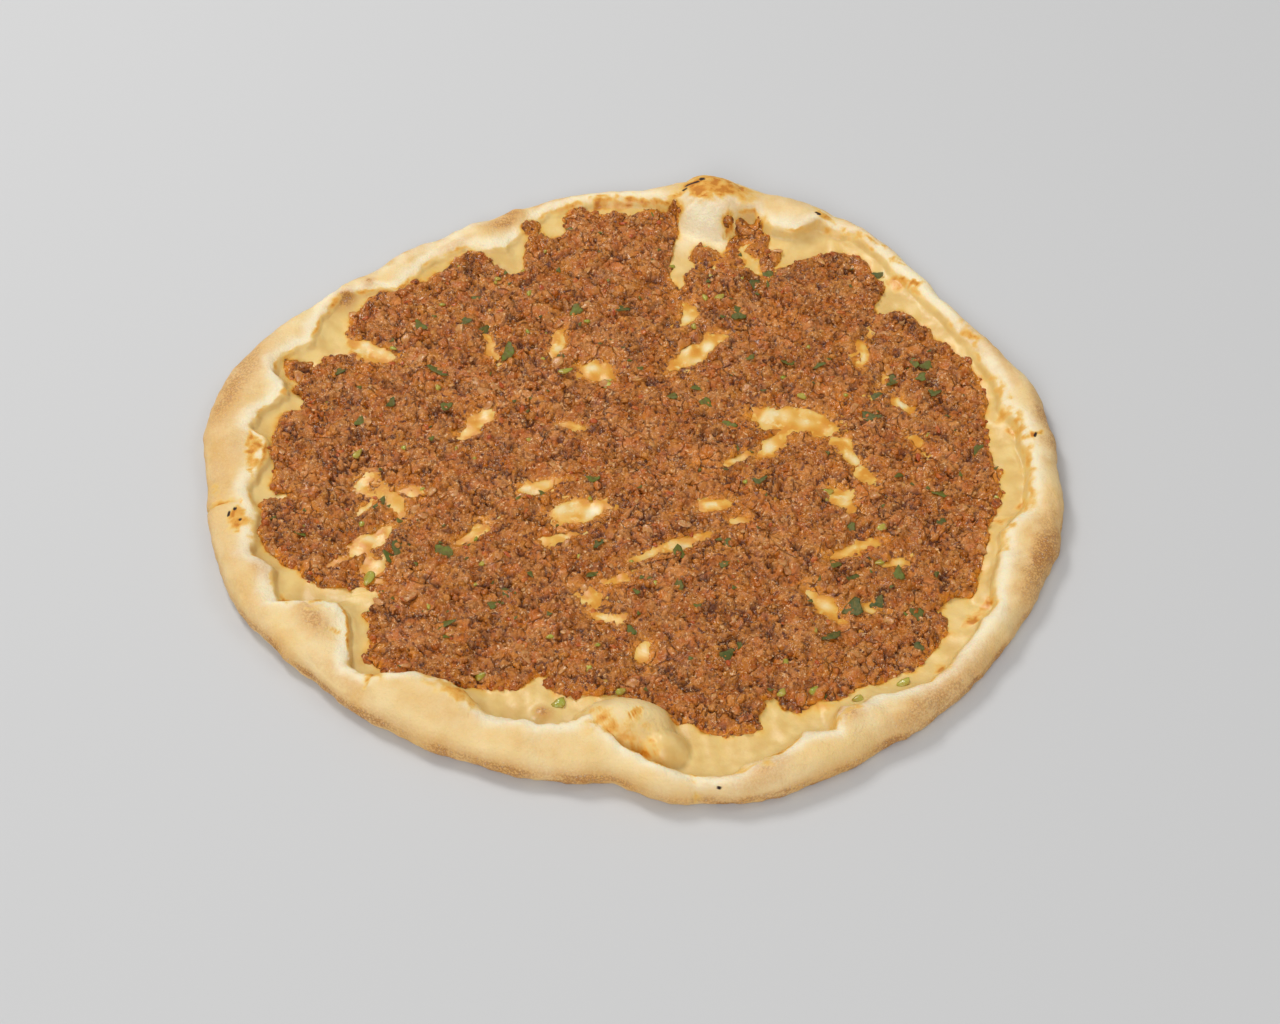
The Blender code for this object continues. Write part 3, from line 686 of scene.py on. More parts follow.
# Where the meat ends, in mm from the middle, every 7.5 degrees from +X.
MEAT_EDGE = (
    134.0, 135.5, 139.0, 138.0, 135.0, 134.0, 140.0, 142.0, 121.0, 114.5, 112.0, 137.0,
    137.5, 138.0, 131.5, 127.0, 132.0, 128.5, 135.0, 134.0, 130.0, 133.0, 133.5, 133.5,
    131.0, 134.5, 135.0, 126.0, 120.0, 117.0, 127.0, 121.0, 116.0, 110.0, 106.0, 106.0,
    106.0, 118.0, 127.5, 128.0, 129.0, 131.0, 137.5, 137.0, 138.0, 135.5, 134.0, 136.5,
)
MEAT_OUTLINE = np.column_stack([np.arange(len(MEAT_EDGE)) * 360.0 / len(MEAT_EDGE), MEAT_EDGE])

# Places where the edge of the meat runs in: angle and half width in degrees, depth in mm.
INLETS = (
    (39, 2.2, 9.0), (78.4, 2.1, 22.0), (102, 1.6, 6.0), (112, 3.0, 14.0), (149, 2.6, 6.0),
    (163.9, 1.7, 6.5), (184.4, 1.2, 6.5), (211.5, 3.6, 12.0), (252, 2.2, 6.0), (293, 2.0, 9.0), (328, 2.6, 7.0),
)

# Tongues of meat that climb the crust: angle, radius, half lengths round and across.
TONGUES = (
    (67.9, 134.5, 5.4, 5.0), (71.6, 133.6, 1.9, 1.7), (65.4, 128.5, 4.2, 7.0), (69.3, 127.5, 3.0, 6.0),
    (62.0, 121.0, 3.8, 8.5), (74.0, 116.5, 6.0, 6.5), (68.6, 118.0, 5.5, 6.0), (83.5, 129.0, 7.5, 7.5),
    (81.4, 136.5, 2.8, 4.0),
    (97.0, 136.5, 8.0, 3.5), (106.0, 133.5, 3.6, 3.4), (157.0, 134.5, 5.6, 7.0),
)

# Bare spots: x and y from the middle, half length and half width in mm, angle of the length.
BARE_SPOTS = (
    (-101, 66, 14.0, 4.2, -25), (-51, 65, 7.0, 1.8, -75), (-26, 67, 5.5, 2.4, 80),
    (-11.5, 51, 5.8, 4.4, -30), (-57, 25, 8.5, 3.0, 50), (-22, 23, 3.6, 1.8, -20),
    (24.5, 80, 5.2, 3.2, 70), (27, 60, 13.5, 3.8, 43), (61, 24, 14.0, 5.5, -5),
    (54, 10.5, 7.0, 3.2, 48), (81, 7.5, 7.5, 3.2, -66), (87, -5, 5.0, 2.6, -60),
    (91, 57, 5.5, 1.6, 80), (103, 30, 5.0, 1.8, -55), (-97, -5.5, 3.8, 2.6, -80),
    (-86.5, -11.5, 8.0, 2.6, -55), (-93, -31.5, 10.5, 2.9, 42), (-92, -45, 5.0, 2.8, -80),
    (-57, -29, 6.5, 2.6, 50), (-18.5, -19.5, 9.5, 5.6, 5), (-33, -7.5, 7.0, 2.6, 15),
    (-14, -61, 4.0, 2.4, -35), (-10, -69, 3.8, 2.2, -30), (4, -86, 5.2, 2.8, 75),
    (16, -37, 12.5, 2.4, 22), (32, -18, 5.0, 2.0, 15), (78, -16, 5.6, 3.0, -70),
    (80, -41, 9.5, 2.3, 22), (94, -48, 4.5, 1.8, 20), (68, -66, 8.0, 2.8, -58),
    (41, 4.5, 4.0, 1.4, 35), (73, 18, 4.5, 3.0, 40), (97, 42, 3.0, 1.0, 70),
    (89, 52, 2.6, 1.2, -60), (107, 10.8, 3.0, 1.4, -70), (21.5, 104, 6.5, 1.8, 80), (52, 108, 7.0, 2.2, -64),
    (-96, -15.5, 3.0, 1.5, 60), (-81, -9, 3.5, 1.8, -20), (-24, -32, 4.5, 1.8, 20),
    (-4, -52, 3.0, 1.4, 30), (40, -26, 3.5, 1.3, 10), (84, -68, 3.5, 1.3, -20),
)

# Where fat has gathered and stains meat and floor orange: x, y and reach in mm.
FAT = (
    (-81, -9, 11), (-24, -31, 9), (58, 74, 9), (80, 30, 9), (40, -22, 10), (-93, -50, 9),
    (-52, 30, 9), (18, 52, 8), (47, 20, 8), (73, 12, 8), (-10, -57, 8), (86, -12, 8), (20, 92, 9),
    (-48, 60, 8), (88, -40, 8), (-100, 55, 8), (30, 0, 8), (-5, 47, 8), (-30, -12, 8),
)


def oval_distance(x, y, middle_x, middle_y, half_length, half_width, angle):
    """How far x, y lies outside an oval in mm, negative inside it: the oval's own distance, 1 on
    its outline, less 1, times its half width and a little more along its length."""
    tilt = math.radians(angle)
    along = ((x - middle_x) * math.cos(tilt) + (y - middle_y) * math.sin(tilt)) / half_length
    across = ((y - middle_y) * math.cos(tilt) - (x - middle_x) * math.sin(tilt)) / half_width
    return (np.hypot(along, across) - 1.0) * (0.7 * half_width + 0.3 * half_length)


def meat_inside(x, y):
    """How far x, y lies inside the meat's torn outline in mm, how far from a bare spot, and how
    far from the outer edge or inside a tongue: the first is the lesser of the other two, and x
    and y are moved by ripples."""
    wander_x = x + 0.6 * ripple(x, y, 10.0, 31) + 0.22 * ripple(x, y, 3.0, 32)
    wander_y = y + 0.6 * ripple(x, y, 10.0, 33) + 0.22 * ripple(x, y, 3.0, 34)
    at = np.degrees(np.arctan2(wander_y, wander_x)) % 360.0
    edge = round_table(MEAT_OUTLINE, 1, at)
    for middle, half_width, depth in INLETS:
        edge = edge - depth * hump(at, middle, half_width)
    inside = edge - np.hypot(wander_x, wander_y)
    inside = np.minimum(inside, crust_section(at)[1] + 0.3 - np.hypot(x, y))
    for angle, radius, round_the_crust, across in TONGUES:
        turn = math.radians(angle)
        tongue = (radius * math.cos(turn), radius * math.sin(turn), across, round_the_crust, angle)
        inside = np.maximum(inside, -oval_distance(wander_x, wander_y, *tongue))
    from_spot = np.full(np.shape(x), 99.0)
    for middle_x, middle_y, half_length, half_width, angle in BARE_SPOTS:
        oval = (middle_x, middle_y - 0.8, half_length + SPOT_GROWTH[0], half_width + SPOT_GROWTH[1], angle)
        from_spot = np.minimum(from_spot, oval_distance(wander_x, wander_y, *oval))
    return np.minimum(inside, from_spot), from_spot, inside


def packed(x, y, size, seed):
    """Closely packed crumbs about size mm across. Each square of a net holds one random centre:
    gives the distance to the nearest centre and to the second, in sizes, and a random number
    from 0 to 1 that belongs to the nearest."""
    rng = np.random.default_rng(seed)
    table = rng.random((3, 256, 256))
    column = np.floor(x / size).astype(int)
    row = np.floor(y / size).astype(int)
    first = np.full(np.shape(x), 9.0)
    second = np.full(np.shape(x), 9.0)
    kind = np.zeros(np.shape(x))
    for over in (-1, 0, 1):
        for up in (-1, 0, 1):
            i, j = (column + over) % 256, (row + up) % 256
            away = np.hypot(
                x / size - column - over - table[0, i, j], y / size - row - up - table[1, i, j]
            )
            nearer = away < first
            second = np.where(nearer, first, np.minimum(second, away))
            kind = np.where(nearer, table[2, i, j], kind)
            first = np.where(nearer, away, first)
    return first, second, kind


def meat_surface(x, y):
    """Height of the meat's top in mm, how far inside its outline and its outer edge it is, how
    deep in a pit from 0 to 1, and the tone of the crumb from 0 to 1. The height is the dough's
    plus the layer's thickness, which rounds off at the edge, plus lumps, crumbs and cracks."""
    inside, from_spot, from_edge = meat_inside(x, y)
    bent_x = x + 0.9 * ripple(x, y, 4.4, 41) + 0.3 * ripple(x, y, 1.9, 56)
    bent_y = y + 0.9 * ripple(x, y, 4.4, 42) + 0.3 * ripple(x, y, 1.9, 57)
    near, next_near, tone = packed(bent_x, bent_y, 5.2, 43)
    small_near, small_next, small_tone = packed(bent_x, bent_y, 2.5, 44)
    crumbly = np.clip(0.5 + 0.6 * ripple(x, y, 13.0, 53), 0.0, 1.0)
    groove = np.clip(1.0 - (next_near - near) / 0.24, 0.0, 1.0) * crumbly
    small_groove = np.clip(1.0 - (small_next - small_near) / 0.40, 0.0, 1.0)
    lumps = (
        0.35 * ripple(x, y, 15.0, 45) + 0.34 * ripple(x, y, 6.5, 46) + 0.30 * ripple(x, y, 3.4, 47)
        + 1.7 * (tone - 0.5) * crumbly + (0.45 + 0.6 * crumbly) * (small_tone - 0.5)
    )
    vein = np.abs(ripple(x, y, 12.0, 48) + 0.5 * ripple(x, y, 3.4, 49))
    crack = np.clip(1.4 - vein / 0.36, 0.0, 1.0) * np.clip(1.8 * ripple(x, y, 15.0, 50) - 0.2, 0.0, 1.0)
    pits = np.clip(1.6 * ripple(bent_x, bent_y, 5.2, 51) - 2.5, 0.0, 1.0)
    slope = 1.9 + 1.4 * np.exp(-((from_spot / 6.0) ** 2))
    thickness = THICKNESS * (1.0 - THIN * np.exp(-((from_spot / 6.0) ** 2)))
    grown = thickness * np.tanh(np.clip(inside, 0.0, None) / slope)
    sunk = 1.7 * np.clip(inside, -1.0, 0.0)
    share = np.clip((inside + 0.4) / 2.6, 0.0, 1.0)
    detail = lumps - 0.9 * groove - 0.45 * small_groove - 2.2 * crack - 1.3 * pits
    # hollow marks the grooves, cracks and pits; the meat's finish darkens its colour there as painted shade
    hollow = 0.50 * groove + 0.14 * small_groove + crack + pits
    ground = dough_top(x, y) + sunk
    return (
        ground + np.maximum(grown + share * detail, 0.12 * grown),
        inside, from_edge, np.clip(hollow, 0.0, 1.0), np.clip(0.55 * tone + 0.45 * small_tone, 0.0, 1.0),
    )


def fat_at(x, y):
    """How greasy and orange it is at x, y, from 0 to 1: the most of exp(-(d / reach) ^ 2)."""
    total = np.zeros(np.shape(x))
    for middle_x, middle_y, reach in FAT:
        total = np.maximum(total, np.exp(-(((x - middle_x) ** 2 + (y - middle_y) ** 2) / reach**2)))
    return np.clip(total * (1.0 + 0.35 * ripple(x, y, 6.0, 52)), 0.0, 1.0)


half = int(152.0 / GRID)
line = np.arange(-half, half + 1) * GRID
grid_y, grid_x = np.meshgrid(line, line, indexing="ij")
near_meat = np.hypot(grid_x, grid_y) < 150.0
meat_z = np.full(grid_x.shape, -50.0)
meat_in, meat_edge, meat_pit, meat_tone, meat_fat = (
    np.full(grid_x.shape, value) for value in (-9.0, -9.0, 0.0, 0.5, 0.0)
)
spread = meat_surface(grid_x[near_meat], grid_y[near_meat])
for layer, numbers in zip((meat_z, meat_in, meat_edge, meat_pit, meat_tone), spread):
    layer[near_meat] = numbers
pooled = np.clip(
    -0.7 * ripple(grid_x[near_meat], grid_y[near_meat], 6.5, 46)
    - 0.5 * ripple(grid_x[near_meat], grid_y[near_meat], 3.4, 47) - 0.4, 0.0, 1.0
)
meat_fat[near_meat] = np.maximum(fat_at(grid_x[near_meat], grid_y[near_meat]), 0.8 * pooled)

shown = meat_in > -0.9
kept = shown[:-1, :-1] & shown[1:, :-1] & shown[:-1, 1:] & shown[1:, 1:]
frame_of_kept = np.pad(kept, 1)
columns = grid_x.shape[1]
node = np.arange(grid_x.size).reshape(grid_x.shape)
under = node + grid_x.size
rows_kept, columns_kept = np.nonzero(kept)
corners = [node[rows_kept + dy, columns_kept + dx] for dy, dx in ((0, 0), (0, 1), (1, 1), (1, 0))]
meat_faces = np.stack(corners, axis=-1).tolist()
for (dy, dx), first, second in (
    ((-1, 0), (0, 0), (0, 1)), ((0, 1), (0, 1), (1, 1)), ((1, 0), (1, 1), (1, 0)), ((0, -1), (1, 0), (0, 0))
):
    open_side = ~frame_of_kept[rows_kept + 1 + dy, columns_kept + 1 + dx]
    j, i = rows_kept[open_side], columns_kept[open_side]
    a = node[j + first[0], i + first[1]]
    b = node[j + second[0], i + second[1]]
    meat_faces += np.stack([b, a, a + grid_x.size, b + grid_x.size], axis=-1).tolist()
around = (
    frame_of_kept[:-1, :-1].astype(int) + frame_of_kept[1:, :-1] + frame_of_kept[:-1, 1:] + frame_of_kept[1:, 1:]
)
on_wall = (around > 0) & (around < 4)
for j in range(kept.shape[0]):
    change = np.diff(np.concatenate([[0], kept[j].astype(int), [0]]))
    for begin, end in zip(np.nonzero(change == 1)[0], np.nonzero(change == -1)[0]):
        lower, upper = (
            under[row, begin:end + 1][on_wall[row, begin:end + 1]] for row in (j, j + 1)
        )
        meat_faces.append([*upper.tolist(), *lower[::-1].tolist()])
used = np.unique(np.concatenate([np.ravel(face) for face in meat_faces]))
renumbered = np.full(2 * grid_x.size, -1)
renumbered[used] = np.arange(len(used))
renumbered = renumbered.tolist()
meat_faces = [[renumbered[index] for index in face] for face in meat_faces]
both = lambda values, bottom: np.concatenate([values.ravel(), np.full(values.size, bottom)])[used]
meat_points = in_place(both(grid_x, 0.0), both(grid_y, 0.0), both(meat_z, BURIED))
is_under = used >= grid_x.size
meat_points[is_under, :2] = in_place(grid_x.ravel(), grid_y.ravel(), 0.0)[used[is_under] - grid_x.size, :2]

def grains(tree, size):
    """Rounded grains about size metres across: how far from a grain's middle, 0 to 1, a random
    number for each grain, and how far from the seam between two grains."""
    bent = add(tree, "TexNoise", {}, Vector=place_of(tree), Scale=0.7 / size, Detail=2.0)
    moved = add(tree, "VectorMath", {"operation": "MULTIPLY_ADD"})
    tree.links.new(bent.outputs["Color"], moved.inputs[0])
    moved.inputs[1].default_value = (1.2 * size, 1.2 * size, 1.2 * size)
    tree.links.new(place_of(tree), moved.inputs[2])
    cells = add(tree, "TexVoronoi", {}, Vector=moved.outputs[0], Scale=1.0 / size)
    seams = add(tree, "TexVoronoi", {"feature": "DISTANCE_TO_EDGE"}, Vector=moved.outputs[0], Scale=1.0 / size)
    return cells.outputs["Distance"], cells.outputs["Color"], seams.outputs["Distance"]


mince, tree, shader = new_finish("minced_meat_crumb", 0.4)
from_middle, grain_kind, _ = grains(tree, 0.0012)
from_seam = grains(tree, 0.0065)[2]
calm = speckle(tree, 0.009, 0.42, 0.60, 2.0)
busy = sum_up(tree, "SUBTRACT", 1.0, sum_up(tree, "MULTIPLY", calm, 0.7))
seam_line = add(tree, "MapRange", {}, Value=from_seam, From_Min=0.0, From_Max=0.07, To_Min=1.0, To_Max=0.0)
torn = sum_up(tree, "MULTIPLY", seam_line.outputs["Result"], speckle(tree, 0.009, 0.50, 0.60, 3.0))
dried = add(
    tree, "MapRange", {}, Value=value_of(tree, "edge"), From_Min=0.3, From_Max=5.0, To_Min=1.0, To_Max=0.0
)
thin = add(
    tree, "MapRange", {}, Value=value_of(tree, "inside"), From_Min=0.4, From_Max=4.0, To_Min=1.0, To_Max=0.0
)
clump = add(tree, "MapRange", {}, Value=value_of(tree, "tone"), From_Min=0.15, From_Max=0.85)
colour = cover(tree, clump.outputs["Result"], shade(174, 95, 10), shade(216, 138, 50))
pinkish = sum_up(tree, "MULTIPLY", speckle(tree, 0.010, 0.46, 0.62), 0.75)
colour = cover(tree, pinkish, colour, shade(217, 142, 70))
ruddy = sum_up(tree, "MULTIPLY", speckle(tree, 0.006, 0.46, 0.62), 0.65)
colour = cover(tree, ruddy, colour, shade(194, 94, 12))
spots = add(tree, "MapRange", {}, Value=grain_kind, From_Min=0.55, From_Max=0.85)
spotted = sum_up(tree, "MULTIPLY", spots.outputs["Result"], sum_up(tree, "MULTIPLY", busy, 0.40))
colour = cover(tree, spotted, colour, shade(228, 154, 72))
colour = cover(tree, sum_up(tree, "MULTIPLY", value_of(tree, "fat"), 0.6), colour, shade(226, 132, 28))
edge = sum_up(tree, "MULTIPLY", dried.outputs["Result"], 0.55)
colour = cover(tree, edge, colour, shade(178, 78, 20))
film = sum_up(tree, "MULTIPLY", thin.outputs["Result"], speckle(tree, 0.0022, 0.20, 0.50))
colour = cover(tree, sum_up(tree, "MULTIPLY", film, 0.9), colour, shade(234, 150, 36))
# painted shade: small dark specks that stand in for shaded pores among the grains, fewer where the meat is calm
dark = sum_up(tree, "SUBTRACT", 1.0, speckle(tree, 0.0018, 0.345, 0.445, 5.0))
colour = cover(tree, sum_up(tree, "MULTIPLY", dark, busy), colour, shade(100, 42, 2))
# painted shade: dark brown lines along the cracks between clumps, where shade lies inside them
colour = cover(tree, sum_up(tree, "MULTIPLY", torn, 0.8), colour, shade(104, 46, 4))
# painted shade: darker towards the edge of each small grain, where the grains meet and shade falls between them
between = add(tree, "MapRange", {}, Value=from_middle, From_Min=0.42, From_Max=0.75)
gap_shade = sum_up(tree, "MULTIPLY", between.outputs["Result"], sum_up(tree, "MULTIPLY", busy, 0.30))
colour = cover(tree, gap_shade, colour, shade(126, 60, 8))
# painted shade: much darker in the layer's grooves, cracks and pits, from the pit attribute
colour = cover(tree, sum_up(tree, "MULTIPLY", value_of(tree, "pit"), 0.9), colour, shade(88, 36, 2))
# painted highlights: small pale dots, a few hundredths of the surface, that stand in for glints on the wet crumbs
painted_glints = sum_up(tree, "MULTIPLY", speckle(tree, 0.0011, 0.635, 0.67, 2.0), 0.7)
colour = cover(tree, painted_glints, colour, shade(250, 206, 150))
tree.links.new(colour, shader.inputs["Base Color"])
greasy = add(tree, "MapRange", {}, Value=speckle(tree, 0.004, 0.35, 0.65), To_Min=0.10, To_Max=0.45)
tree.links.new(greasy.outputs["Result"], shader.inputs["Roughness"])
rounded = add(tree, "MapRange", {}, Value=from_middle, From_Min=0.0, From_Max=0.8, To_Min=1.0, To_Max=0.0)
lumpy = raised(tree, speckle(tree, 0.0024, 0.25, 0.75), 0.0009, 0.6)
cracked = raised(tree, sum_up(tree, "SUBTRACT", 1.0, torn), 0.0008, 0.7, lumpy)
grainy = raised(tree, rounded.outputs["Result"], 0.0004, sum_up(tree, "MULTIPLY", busy, 0.7), cracked)
fine = raised(tree, speckle(tree, 0.0006, 0.25, 0.75, 3.0), 0.0002, busy, grainy)
tree.links.new(fine, shader.inputs["Normal"])

meat = new_mesh(
    "meat_layer", meat_points, meat_faces, mince,
    inside=both(meat_in, 0.0), edge=both(meat_edge, 0.0), pit=both(meat_pit, 0.0),
    tone=both(meat_tone, 0.5), fat=both(meat_fat, 0.0),
)
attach(meat, "root")
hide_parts("meat_topping")

# Fat that has run out of the meat onto the bread: a wide orange stain round the bare spots, whose
# middles stay cream, a narrow one along the outer edge, and pools where it gathered.
_, from_spot, from_edge = meat_inside(dough_x, dough_y)
spread_of_stain = 1.1 + 0.4 * ripple(dough_x, dough_y, 9.0, 61)
bleeding = np.exp(np.minimum(from_spot, 0.0) / 0.85) * (from_edge > 0.0) * spread_of_stain
narrow = 0.6 * np.exp(np.minimum(from_edge, 0.0) / 1.4) * spread_of_stain
soaked = np.clip(np.maximum(np.maximum(bleeding, narrow), 0.9 * fat_at(dough_x, dough_y) - 0.15), 0.0, 1.0)
soaked *= 1.0 - 0.9 * patch(dough_x, dough_y, 269.0, 119.0, 15.0, 9.0)
cream = np.clip(-(from_spot + 0.2) / 1.4, 0.0, 1.0) * (from_edge > 0.0)
for key, numbers in (("oil", soaked), ("cream", cream)):
    stain = bread.data.attributes.new(key, "FLOAT", "POINT")
    stain.data.foreach_set("value", np.where(is_top, numbers, 0.0).astype(np.float32))


# ---------------------------------------------------------------- loose crumbs of meat
# Mince that came away from the layer as it shrank: small dark crumbs pressed into its surface
# and along its torn edge, and a few lying loose on the bread. Nothing but fat holds them.


def ball(around, bands):
    """Points and faces of a unit ball: a pole, rings of points from the top down, a pole."""
    down = np.pi * np.arange(1, bands) / bands
    turn = 2.0 * np.pi * np.arange(around) / around
    rings = np.stack([
        np.outer(np.sin(down), np.cos(turn)), np.outer(np.sin(down), np.sin(turn)),
        np.outer(np.cos(down), np.ones(around)),
    ], axis=-1).reshape(-1, 3)
    points = np.concatenate([[(0.0, 0.0, 1.0)], rings, [(0.0, 0.0, -1.0)]])
    step = np.arange(around)
    beyond = (step + 1) % around
    faces = np.stack([0 * step, 1 + step, 1 + beyond], axis=-1).tolist()
    for start in 1 + around * np.arange(bands - 2):
        quads = (start + step, start + around + step, start + around + beyond, start + beyond)
        faces += np.stack(quads, axis=-1).tolist()
    start = 1 + around * (bands - 2)
    faces += np.stack([0 * step + len(points) - 1, start + beyond, start + step], axis=-1).tolist()
    return points, faces


def strewn(name, form, places, sizes, tilt, roughness, finish, random, lobes=0.0, curl=0.0, **values):
    """One mesh of many copies of a form, each stretched to its sizes, made uneven by roughness,
    its outline waved three times round by lobes and its ends curled up, leaned by up to tilt,
    turned any way and put in its place. values holds one number for each copy."""
    points, faces = form
    count = len(places)
    uneven = 1.0 + roughness * random.normal(size=(count, len(points), 1))
    wave = np.sin(3.0 * np.arctan2(points[:, 1], points[:, 0]) + random.uniform(0.0, 6.3, (count, 1)))
    shape = points * uneven * (1.0 + lobes * wave[:, :, None]) * sizes[:, None, :]
    shape[:, :, 2] += curl * random.uniform(-0.4, 1.0, (count, 1)) * shape[:, :, 0] ** 2 / sizes[:, :1]
    lean = random.uniform(-tilt, tilt, (count, 1))
    y = shape[:, :, 1] * np.cos(lean) - shape[:, :, 2] * np.sin(lean)
    z = shape[:, :, 1] * np.sin(lean) + shape[:, :, 2] * np.cos(lean)
    roll = random.uniform(-tilt, tilt, (count, 1))
    x = shape[:, :, 0] * np.cos(roll) + z * np.sin(roll)
    z = z * np.cos(roll) - shape[:, :, 0] * np.sin(roll)
    turn = random.uniform(0.0, 2.0 * np.pi, (count, 1))
    if "heading" in values:
        turn = values.pop("heading")[:, None]
    everywhere = in_place(
        x * np.cos(turn) - y * np.sin(turn) + places[:, :1],
        x * np.sin(turn) + y * np.cos(turn) + places[:, 1:2],
        z + places[:, 2:],
    )
    starts = len(points) * np.arange(count)
    triangles = np.array([face for face in faces if len(face) == 3])
    quads = np.array([face for face in faces if len(face) == 4])
    all_faces = (triangles[None] + starts[:, None, None]).reshape(-1, 3).tolist()
    all_faces += (quads[None] + starts[:, None, None]).reshape(-1, 4).tolist()
    values = {key: np.repeat(numbers, len(points)) for key, numbers in values.items()}
    made = new_mesh(name, everywhere, all_faces, finish, **values)
    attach(made, "root")
    return made


def on_meat(count, random, least_inside, clear=0.0):
    """Random places on top of the meat, at least least_inside mm inside its outline and clear mm
    away from bare spots."""
    x = random.uniform(-146.0, 146.0, 4 * count)
    y = random.uniform(-146.0, 146.0, 4 * count)
    top, inside, edge, pit, tone = meat_surface(x, y)
    away = (inside > clear) | (edge <= inside)
    chosen = np.nonzero((inside > least_inside) & away)[0][:count]
    return np.column_stack([x, y, top])[chosen], edge[chosen]


random = np.random.default_rng(5)
places, edge = on_meat(5200, random, 0.0, 2.6)
sizes = random.uniform(0.40, 0.95, (len(places), 1)) * random.uniform(0.7, 1.25, (len(places), 3))
places[:, 2] -= 0.4 * sizes[:, 2]
fine_crumbs = strewn(
    "fine_crumbs", ball(6, 4), places, sizes, 1.5, 0.14, mince, random,
    edge=edge, inside=np.full(len(places), 9.0), tone=random.uniform(0.0, 1.0, len(places)),
    pit=0.12 * random.random(len(places)),
    fat=fat_at(places[:, 0], places[:, 1]),
)

random = np.random.default_rng(6)
places, edge = on_meat(1300, random, 0.2, 3.2)
sizes = random.uniform(0.9, 2.1, (len(places), 1)) * random.uniform(0.65, 1.3, (len(places), 3))
places[:, 2] = np.maximum(places[:, 2] - 0.5 * sizes[:, 2], 1.2 * sizes.max(axis=1))
coarse_crumbs = strewn(
    "coarse_crumbs", ball(8, 6), places, sizes, 1.5, 0.13, mince, random,
    edge=edge, inside=np.full(len(places), 9.0), tone=random.uniform(0.0, 1.0, len(places)),
    pit=0.08 * random.random(len(places)),
    fat=fat_at(places[:, 0], places[:, 1]),
)


# ---------------------------------------------------------------- parsley
# Flat parsley chopped small and baked into the meat: dark limp flakes, thin and curled, most
# of them half sunk among the crumbs, held by the meat's fat.

# The larger flakes: x and y from the middle, length and width in mm.
PARSLEY = (
    (-45, 59, 6, 3.5), (-71, 50, 7, 4), (-58, 90, 3, 2.4), (-62, 76, 4, 3), (-54, 74, 4, 3),
    (-79, 74, 4, 2.5), (-109, 52, 4, 3), (-89, 34, 4, 3), (-68, 31, 4, 3), (-100, 25, 4, 2.5),
    (-19, 81, 4, 3), (-1, 81, 4, 3), (51, 94, 3, 3), (44, 79, 7, 4), (57, 101, 4, 3),
    (62, 51, 4, 3), (73, 49, 4, 3), (47, 53, 4, 2.5), (38, 19, 4, 3), (101, 41, 5, 4),
    (93, 33, 5, 3), (91, 21, 6, 3), (109, 48, 4, 3), (114, 47, 3.5, 2.5), (111, 40, 4, 3),
    (116, 33, 4, 3), (17, 34, 4, 3), (27, 38, 4, 3), (30, 30, 4, 3), (99, 98, 4, 3),
    (129, 2.6, 4, 2), (-91, -17, 6, 3), (-117, -29, 6, 2.4), (-82, -39, 6, 5), (-86, -42, 4, 3),
    (-66, -41, 7, 4), (-31, -12.4, 5, 2), (-11, -38, 4, 3), (-12, -50, 6, 4), (-65, -74, 6, 3),
    (-64, -79, 4, 2.5), (-48, -65, 4, 2.5), (-43, -60, 4, 3), (0, -79, 3, 2.4), (-13, -8, 4, 3),
    (79, -32, 5, 3), (114, -18, 5, 3), (18, -44, 5, 3), (34, -49, 4, 2), (78, -70, 6, 5.5),
    (87, -67, 4, 3), (70, -83, 7, 4), (100, -74, 4, 3), (99, -89, 3, 3), (33, -91, 4, 3),
    (17, -59, 4, 3), (48, -10, 4, 3), (79, -57, 4, 2.5), (95, -56, 4, 3), (35, -40, 4, 3),
    (73, -51, 4, 3), (113, -33, 4, 2.5), (100, -8, 5, 2),
)

parsley_leaf, tree, shader = new_finish("parsley_leaf", 0.55)
colour = cover(tree, value_of(tree, "tone"), shade(60, 74, 8), shade(112, 124, 24))
colour = cover(tree, speckle(tree, 0.0015, 0.35, 0.65), colour, shade(104, 92, 24))
tree.links.new(colour, shader.inputs["Base Color"])
tree.links.new(raised(tree, speckle(tree, 0.0012, 0.3, 0.7), 0.0003, 0.7), shader.inputs["Normal"])

random = np.random.default_rng(7)
listed = np.array(PARSLEY)
small, _ = on_meat(120, random, 1.0)
spots_x = np.concatenate([listed[:, 0], small[:, 0]])
spots_y = np.concatenate([listed[:, 1], small[:, 1]])
long = np.concatenate([1.35 * listed[:, 2], random.uniform(1.2, 3.0, len(small))])
wide = np.concatenate([1.35 * listed[:, 3], random.uniform(0.8, 2.0, len(small))])
top, inside, *_ = meat_surface(spots_x, spots_y)
places = np.column_stack([spots_x, spots_y, np.where(inside > 0.0, top, dough_top(spots_x, spots_y)) + 0.25])
sizes = np.column_stack([0.5 * long, 0.5 * wide, np.full(len(long), 0.22)])
parsley = strewn(
    "parsley", ball(12, 6), places, sizes, 0.45, 0.05, parsley_leaf, random, lobes=0.28, curl=0.25,
    tone=random.beta(1.6, 2.2, len(places)),
)


# ---------------------------------------------------------------- pepper
# Green pepper diced fine and softened in the oven: small glossy olive pieces, the largest on
# the bare bread beside the meat, stuck there by fat.

# Pieces that show: x and y from the middle, length, width in mm and the angle of the length.
PEPPER = (
    (-93, -50, 9, 4, 80), (-40, 104, 6, 3, 70), (-23, 47, 6, 3, 20), (-25, -108, 5, 4, 30),
    (-4, -104, 4, 3, 0), (91, -34, 4, 3, 30), (89, -48, 4, 3, 10), (93, -103, 5, 3, 20),
    (77, -110, 4, 3, 0), (62, -106, 4, 2.5, 40), (51, -107, 4, 3, 60), (53, -94, 4, 3, 90),
    (73, -14, 4, 3, 0), (37, 87, 4, 3, 20), (-100, 8, 5, 2.5, 60), (-113, 36, 5, 3, 20),
    (-52, -97, 4, 2.5, 30), (-7, 42, 4, 3, 50), (112, 13, 4, 2, 60), (66, 33, 4, 2.5, 0),
)

